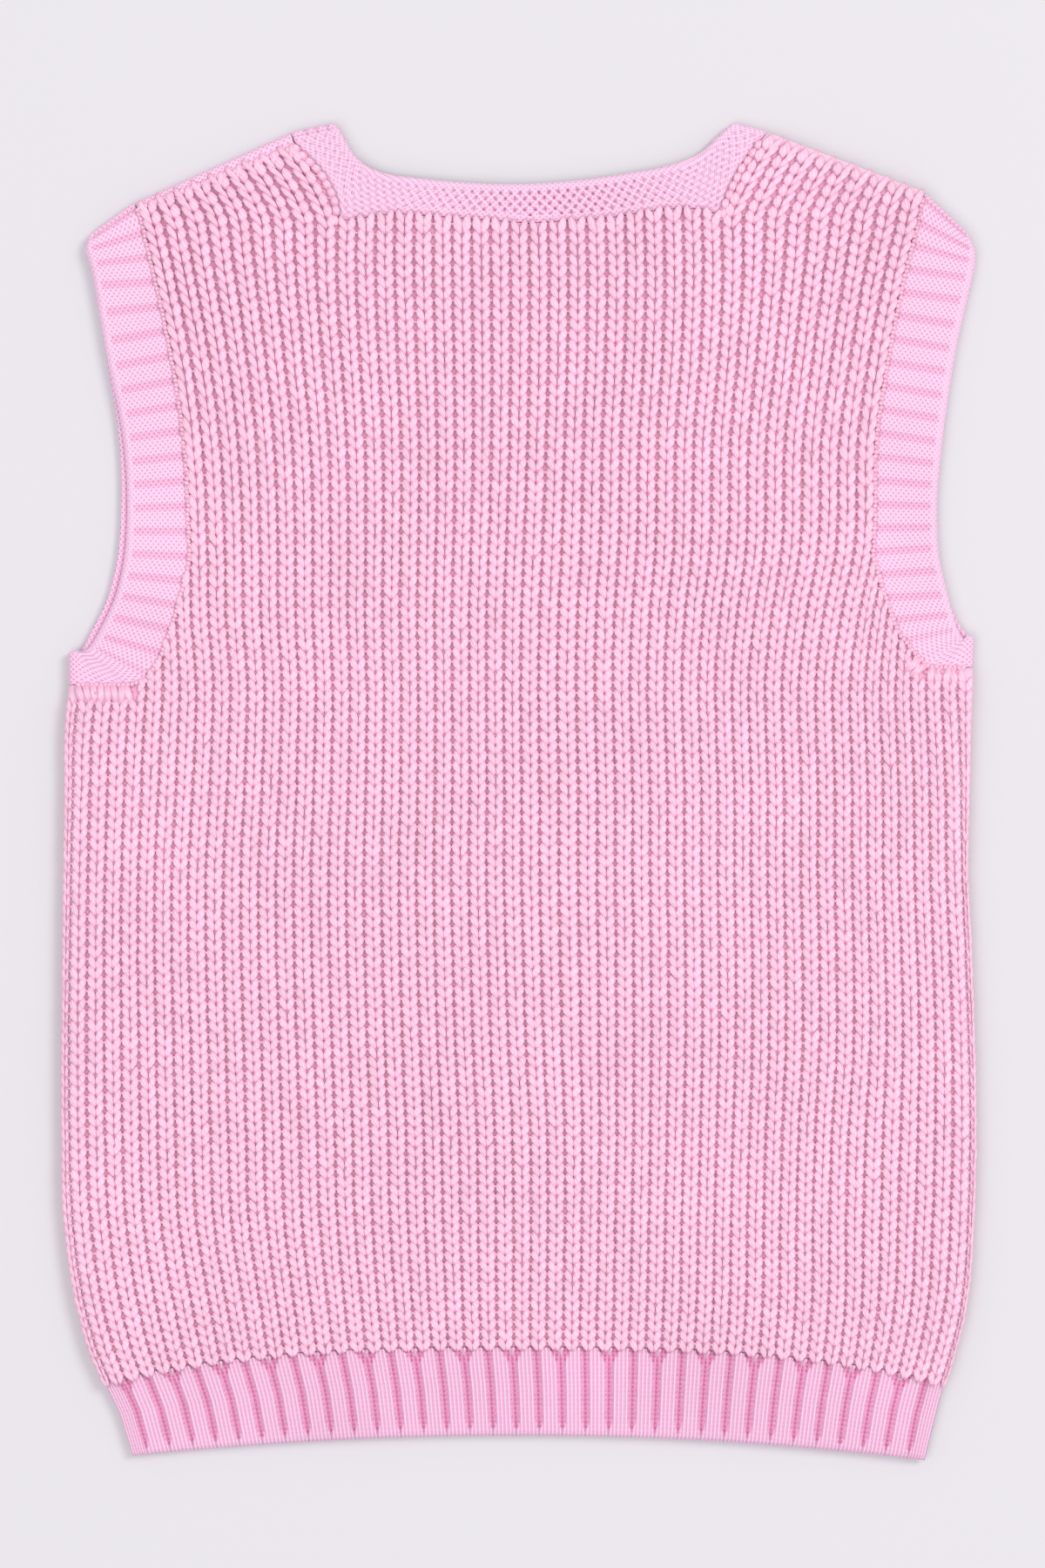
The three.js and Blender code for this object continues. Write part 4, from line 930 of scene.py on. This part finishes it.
def armband(side):
    line, table = armhole_line(side), ARMBANDS[side]
    outward = np.array([-HANDS[side], 0.0])
    seam = np.linspace(0, 1, ARMBAND_RIBS * 16 + 1)
    front = np.linspace(1, 0, 121)
    lift = np.interp(front, table[:, 2], table[:, 3])[:, None]
    beyond = unit(read_line(line, 0) - read_line(line, END_SHARE))
    free_beyond = unit(read_edge(table, 0) - read_edge(table, END_SHARE))
    stations = [
        flat_stations(read_line(line, seam), read_edge(table, seam), 0),
        fold_stations(read_line(line, 1), read_edge(table, 1), outward, outward, FOLD_TURNS),
        flat_stations(read_line(line, front), read_edge(table, front) + outward * lift, 180),
        fold_stations(read_line(line, 0), read_edge(table, 0), beyond, free_beyond, FOLD_TURNS[::-1]),
    ]
    turn = np.concatenate([part[2] for part in stations])
    ribs = np.concatenate([
        seam * ARMBAND_RIBS, ARMBAND_RIBS + np.linspace(0, 1, len(FOLD_TURNS)),
        ARMBAND_RIBS * (1 + (1 - front)), np.linspace(-1, 0, len(FOLD_TURNS)),
    ])
    from_recess = np.abs(ribs - np.round(ribs))[:, None]
    recess = 1 - smoothstep(from_recess, 0.5 * RECESS_HALF, RECESS_HALF + 0.06)
    rolled = smoothstep(BAND_ACROSS, 0.86, 0.93)
    under = smoothstep(ribs, 0.82 * ARMBAND_RIBS, 0.92 * ARMBAND_RIBS)[:, None]
    recess = recess * (1 - rolled) * (1 - 0.8 * under)
    front_share = turn / 180
    relief = BAND_RELIEF * (1 - 0.8 * recess) * (1 - front_share[:, None])
    # Painted shade in the recesses between the ribs; the negative share on the rolled free edge clears the
    # dots' painted shade there and leaves a pale painted highlight
    painted_shade = 0.42 * recess - 0.6 * rolled
    thickness = mix(BAND_WALL, FRONT_WALL, front_share)
    return band_piece(f"armband_knit_{side}", stations, thickness, BAND_ACROSS, relief, painted_shade, band_yarn)


armband_left, armband_right = (armband(side) for side in HANDS)


def shoulder_out(side):
    """The direction that leaves a shoulder at right angles to its sewn end."""
    run = unit(side["neck"] - side["arm"])
    return np.array([-run[1], run[0]]) * np.sign(run[0])


def neck_line():
    """The sewn edge of the neckband across the back."""
    left = SHOULDERS["left"]
    start = left["neck"] + shoulder_out(left) * (left["cover"][1] - NECK_FOLD)
    columns = np.linspace(NECK_LEFT, NECK_RIGHT, 81)
    neck_y = neckline_y(columns)
    across = np.stack([gutter_x(columns, neck_y), neck_y], axis=-1)[1:-1]
    beside = [back_line(float(gutter), sum(BACK_ROWS[:2])) for gutter in (NECK_LEFT, NECK_RIGHT)]
    points = np.vstack([[start], beside[0][::-1], across, beside[1]])
    return beside_line(cut_line(points, NECK_FOLD), BAND_GAP)


HOLE_PERIOD = 4.67
HOLE_ROW = 2.6
FIRST_HOLES = 4.6
neck_sewn = neck_line()
seam = np.linspace(0, 1, 440)
down = np.linspace(0, 1, 90)
v_sewn = V_POINT + np.array([0, 2 * BAND_GAP])


def v_stations(seam_end, shares):
    """One side of the V in front, from the shoulder down."""
    start, free_start = read_line(neck_sewn, seam_end), read_edge(NECKBAND, seam_end)
    steep = unit(V_POINT - start)
    side = np.array([-steep[1], steep[0]]) * (-BAND_GAP if seam_end == 1 else BAND_GAP)
    beside = np.clip(20 * np.minimum(shares, 1 - shares), 0, 1)[:, None]
    sewn = mix(start, v_sewn, shares[:, None]) + side * beside
    return flat_stations(sewn, mix(free_start, V_BAND_POINT, shares[:, None]), 180)


def neck_fold(seam_end, turns):
    inside = END_SHARE if seam_end == 0 else 1 - END_SHARE
    sewn_end, free_end = read_line(neck_sewn, seam_end), read_edge(NECKBAND, seam_end)
    free_out = unit(free_end - read_edge(NECKBAND, inside))
    sewn_out = unit(sewn_end - read_line(neck_sewn, inside))
    return fold_stations(sewn_end, free_end, sewn_out, free_out, turns)


stations = [
    flat_stations(read_line(neck_sewn, seam), read_edge(NECKBAND, seam), 0),
    neck_fold(1, FOLD_TURNS), v_stations(1, down),
    v_stations(0, down[::-1][1:]), neck_fold(0, FOLD_TURNS[::-1]),
]
sewn, free = (np.concatenate([part[i] for part in stations]) for i in (0, 1))
turn = np.concatenate([part[2] for part in stations])
along = line_lengths((sewn + free) / 2)[:, None]
width = np.linalg.norm(free - sewn, axis=1)[:, None]
from_free = (1 - BAND_ACROSS) * width
hole_row = np.round((from_free - FIRST_HOLES) / HOLE_ROW)
hole_along = along / HOLE_PERIOD + 0.5 * (hole_row % 2)
off_along = (hole_along - np.round(hole_along)) * HOLE_PERIOD
off_across = from_free - FIRST_HOLES - hole_row * HOLE_ROW
in_mesh = (hole_row >= 0) & (BAND_ACROSS * width > 3.4)
holes = np.exp(-((off_along / 0.8) ** 2) - (off_across / 0.95) ** 2) * in_mesh
openness = np.where(turn[:, None] == 0, 0.35 + 0.65 * np.exp(-(((sewn[:, :1] - 18) / 60) ** 2)), 0.3)
bead = np.exp(-(((from_free - 1.6) / 1.1) ** 2))
seam_zone = np.exp(-((BAND_ACROSS * width / 1.6) ** 2))
relief = -1.2 * holes * openness + 0.35 * bead * (1 - turn[:, None] / 180) - 0.3 * seam_zone
# Painted shade in the mesh's holes and along the sunken seam
painted_shade = np.clip(holes * openness * 1.1 + 0.1 * seam_zone, 0, 1)
neckband = band_piece("neckband_knit", stations, mix(BAND_WALL, FRONT_WALL, turn / 180), BAND_ACROSS,
                      relief, painted_shade, mesh_yarn)


# Shoulder strip: a fine knit that closes the left shoulder and goes over its fold
left = SHOULDERS["left"]
out = shoulder_out(left)
shares = np.linspace(0.004, 0.999, 121)
sewn = mix(left["arm"], left["neck"], shares[:, None]) + out * SEAM_GAP
cover = mix(*left["cover"], shares)
fold = sewn + out * (cover - NECK_FOLD - SEAM_GAP)[:, None]
clear = SEAM_GAP / 2
full_wall = BAND_WALL + BAND_RELIEF


def strip_layer(lower_z, upper_z, back_wall, front_wall):
    """One face of the strip, from its sewn edge over the fold to the front."""
    lines = [(mix(sewn, fold, share), upper_z) for share in (0, 0.5)]
    for turn in np.radians(np.linspace(0, 180, 15)):
        reach = clear + mix(back_wall, front_wall, turn / np.pi)
        plan = fold + out * (min(reach, NECK_FOLD) * np.sin(turn))
        lines.append((plan, FOLD_CENTRE + reach * np.cos(turn)))
    lines.append((sewn, lower_z))
    return np.stack([np.column_stack([plan, np.full(len(plan), z)]) for plan, z in lines], axis=1)


outer = strip_layer(0.0, FOLD_CENTRE + clear + full_wall, full_wall, FRONT_WALL)
inner = strip_layer(FOLD_CENTRE - clear, FOLD_CENTRE + clear, 0.0, 0.0)
girth = np.concatenate([[0], np.cumsum(np.linalg.norm(np.diff(outer, axis=1), axis=2).mean(axis=0))])
strip_map = np.meshgrid(line_lengths(sewn) / BAND_STITCH[0], girth / BAND_STITCH[1], indexing="ij")
filled = np.ones((len(shares) - 1, outer.shape[1] - 1), bool)
shoulder_strip = shell_piece("shoulder_strip", outer, inner, filled, band_yarn, np.zeros(outer.shape[:2]),
                             strip_map)


# Linking stitches across the seams of the bands and the strip
SEAM_STITCH_ALONG = np.array([0.0, 0.12, 0.5, 0.88, 1.0])
SEAM_STITCH_WIDTH = np.array([0.4, 0.85, 1.0, 0.85, 0.4])
SEAM_STITCH_HEIGHT = np.array([-1.1, -0.1, 0.15, -0.1, -1.1])
SEAM_STITCH_ANGLES = np.array([-90.0, -45.0, 0.0, 45.0, 90.0])
SEAM_LEVEL = INNER_BACK + BAND_WALL + 0.7


def seam_stitches(name, line, pitch, size, shift, lean):
    """Stitches laid across a seam. size is their length and width, shift moves them off the line and lean
    slants them, up to a chain along the seam.
    """
    length, width = size
    total = line_lengths(line)[-1]
    count = int(total / pitch)
    shares = (np.arange(count) + 0.5) / count
    place = read_line(line, shares)
    ahead, behind = (read_line(line, np.clip(shares + step, 0, 1)) for step in (0.004, -0.004))
    run = unit(ahead - behind)
    side = np.stack([-run[:, 1], run[:, 0]], axis=-1)
    place = place + side * (shift + 0.2 * random.normal(size=count))[:, None]
    along = unit(side + run * (lean + 0.12 * random.normal(size=count))[:, None])
    across = np.stack([along[:, 1], -along[:, 0]], axis=-1)
    flat = np.zeros((count, 1))
    level = np.full((count, 1), SEAM_LEVEL)
    out = np.tile([0.0, 0.0, 1.0], (count, 1))
    centre = np.broadcast_arrays(0.0, (SEAM_STITCH_ALONG - 0.5) * length, SEAM_STITCH_HEIGHT)
    centre = np.tile(np.stack(centre, axis=-1), (count, 1, 1))
    half_width = np.tile(width / 2 * SEAM_STITCH_WIDTH, (count, 1))
    across, along = np.hstack([across, flat]), np.hstack([along, flat])
    points = lobes(np.hstack([place, level]), across, along, out, centre, half_width, half_width,
                   SEAM_STITCH_ANGLES)
    # Painted shade at the stitches' ends and sides, where they dip into the cloth
    ends = np.abs(SEAM_STITCH_ALONG - 0.5)[:, None] * 1.2 + 0.3 * (np.abs(SEAM_STITCH_ANGLES) > 80)[None]
    tint = np.repeat(random.normal(size=count), ends.size)
    return yarn_piece(name, points, np.tile(ends.ravel() - 0.1, count), tint)


CHAIN_SHARES = {"left": (0.01, 0.18), "right": (0.835, 0.99)}
strip_seam = mix(left["arm"], left["neck"], np.linspace(0, 1, 30)[:, None])
linking = []
for side, ends in CHAIN_SHARES.items():
    chain = read_line(neck_sewn, np.linspace(*ends, 40))
    linking.append(seam_stitches(f"neck_chain_{side}", chain, 4.4, (5.4, 3.8), -1.4, 9.0))
for side, hand in HANDS.items():
    line = armhole_line(side)
    linking.append(seam_stitches(f"arm_linking_{side}", line, 2.1, (3.0, 2.2), 0.2 * hand, 0.5 * hand))
linking.append(seam_stitches("shoulder_linking", strip_seam, 2.6, (4.0, 2.7), -0.5, 0.5))
for side, hand in HANDS.items():
    line = read_line(armhole_line(side), np.linspace(0.9, 0.999, 40))
    linking.append(seam_stitches(f"under_stitches_{side}", line, 3.1, (10.5, 4.0), 4.6 * hand, 0.0))


# Hiding the solids that the knit stands in for, and attaching every piece to the root body
for piece, node, slot in (
    (back_cloth, "back_panel", "body_knit"), (front_cloth, "front_panel", "body_knit"),
    (hem_back, "hem_rib_back", "hem_knit"), (hem_front, "hem_rib_front", "hem_knit"),
    (armband_left, "armband_left", "band_knit"), (armband_right, "armband_right", "band_knit"),
    (neckband, "neckband", "band_knit"), (shoulder_strip, "shoulder_strip_left", "band_knit"),
):
    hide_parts(node)
    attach(piece, "root")
for pieces, slot in ((stitch_pieces, "body_knit"), (linking, "band_knit")):
    for piece in pieces:
        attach(piece, "root")


# Floor, camera and light
FLOOR_COLOUR = (0.69, 0.676, 0.698)
VIEW_MIDDLE = (1.64 * MM, 3.28 * MM)
VIEW_HEIGHT = 0.738
CAMERA_HEIGHT = 2.0
CLOTH_LEVEL = 0.005
FLOOR_HALF, FLOOR_LEVEL = 4.0, -0.0002

floor_mesh = bpy.data.meshes.new("floor")
signs = ((-1, -1), (1, -1), (1, 1), (-1, 1))
corners = [(FLOOR_HALF * i, FLOOR_HALF * j, FLOOR_LEVEL) for i, j in signs]
floor_mesh.from_pydata(corners, [], [(0, 1, 2, 3)])
floor = new_object("floor", floor_mesh)
floor_material = bpy.data.materials.new("floor_paper")
floor_material.use_nodes = True
floor_shader = floor_material.node_tree.nodes["Principled BSDF"]
floor_shader.inputs["Base Color"].default_value = (*FLOOR_COLOUR, 1.0)
floor_shader.inputs["Roughness"].default_value = 1.0
floor_shader.inputs["Specular IOR Level"].default_value = 0.0
floor_mesh.materials.append(floor_material)

camera_data = bpy.data.cameras.new("camera")
camera_data.sensor_fit = "VERTICAL"
camera_data.sensor_height = 36.0
camera_data.lens = camera_data.sensor_height * (CAMERA_HEIGHT - CLOTH_LEVEL) / VIEW_HEIGHT
camera = new_object("camera", camera_data)
camera.location = (*VIEW_MIDDLE, CAMERA_HEIGHT)
bpy.context.scene.camera = camera


def area_light(name, direction, distance, size, power, colour):
    """A square light at a distance, turned to the origin."""
    data = bpy.data.lights.new(name, "AREA")
    data.size = size
    data.energy = power
    data.color = colour
    light = new_object(name, data)
    light.location = unit(np.array(direction)) * distance
    light.rotation_euler = (-light.location).to_track_quat("-Z", "Y").to_euler()


area_light("key", (0.62, 0.42, 0.85), 5.0, 2.0, 100.0, (1.0, 0.985, 0.97))
area_light("fill", (-0.4, -0.3, 1.0), 5.0, 4.0, 85.0, (1.0, 0.985, 1.0))
world = bpy.data.worlds.new("world")
world.use_nodes = True
background = world.node_tree.nodes["Background"]
background.inputs["Color"].default_value = (0.97, 0.96, 1.0, 1.0)
background.inputs["Strength"].default_value = 0.70
bpy.context.scene.world = world
bpy.context.scene.view_settings.view_transform = "Standard"
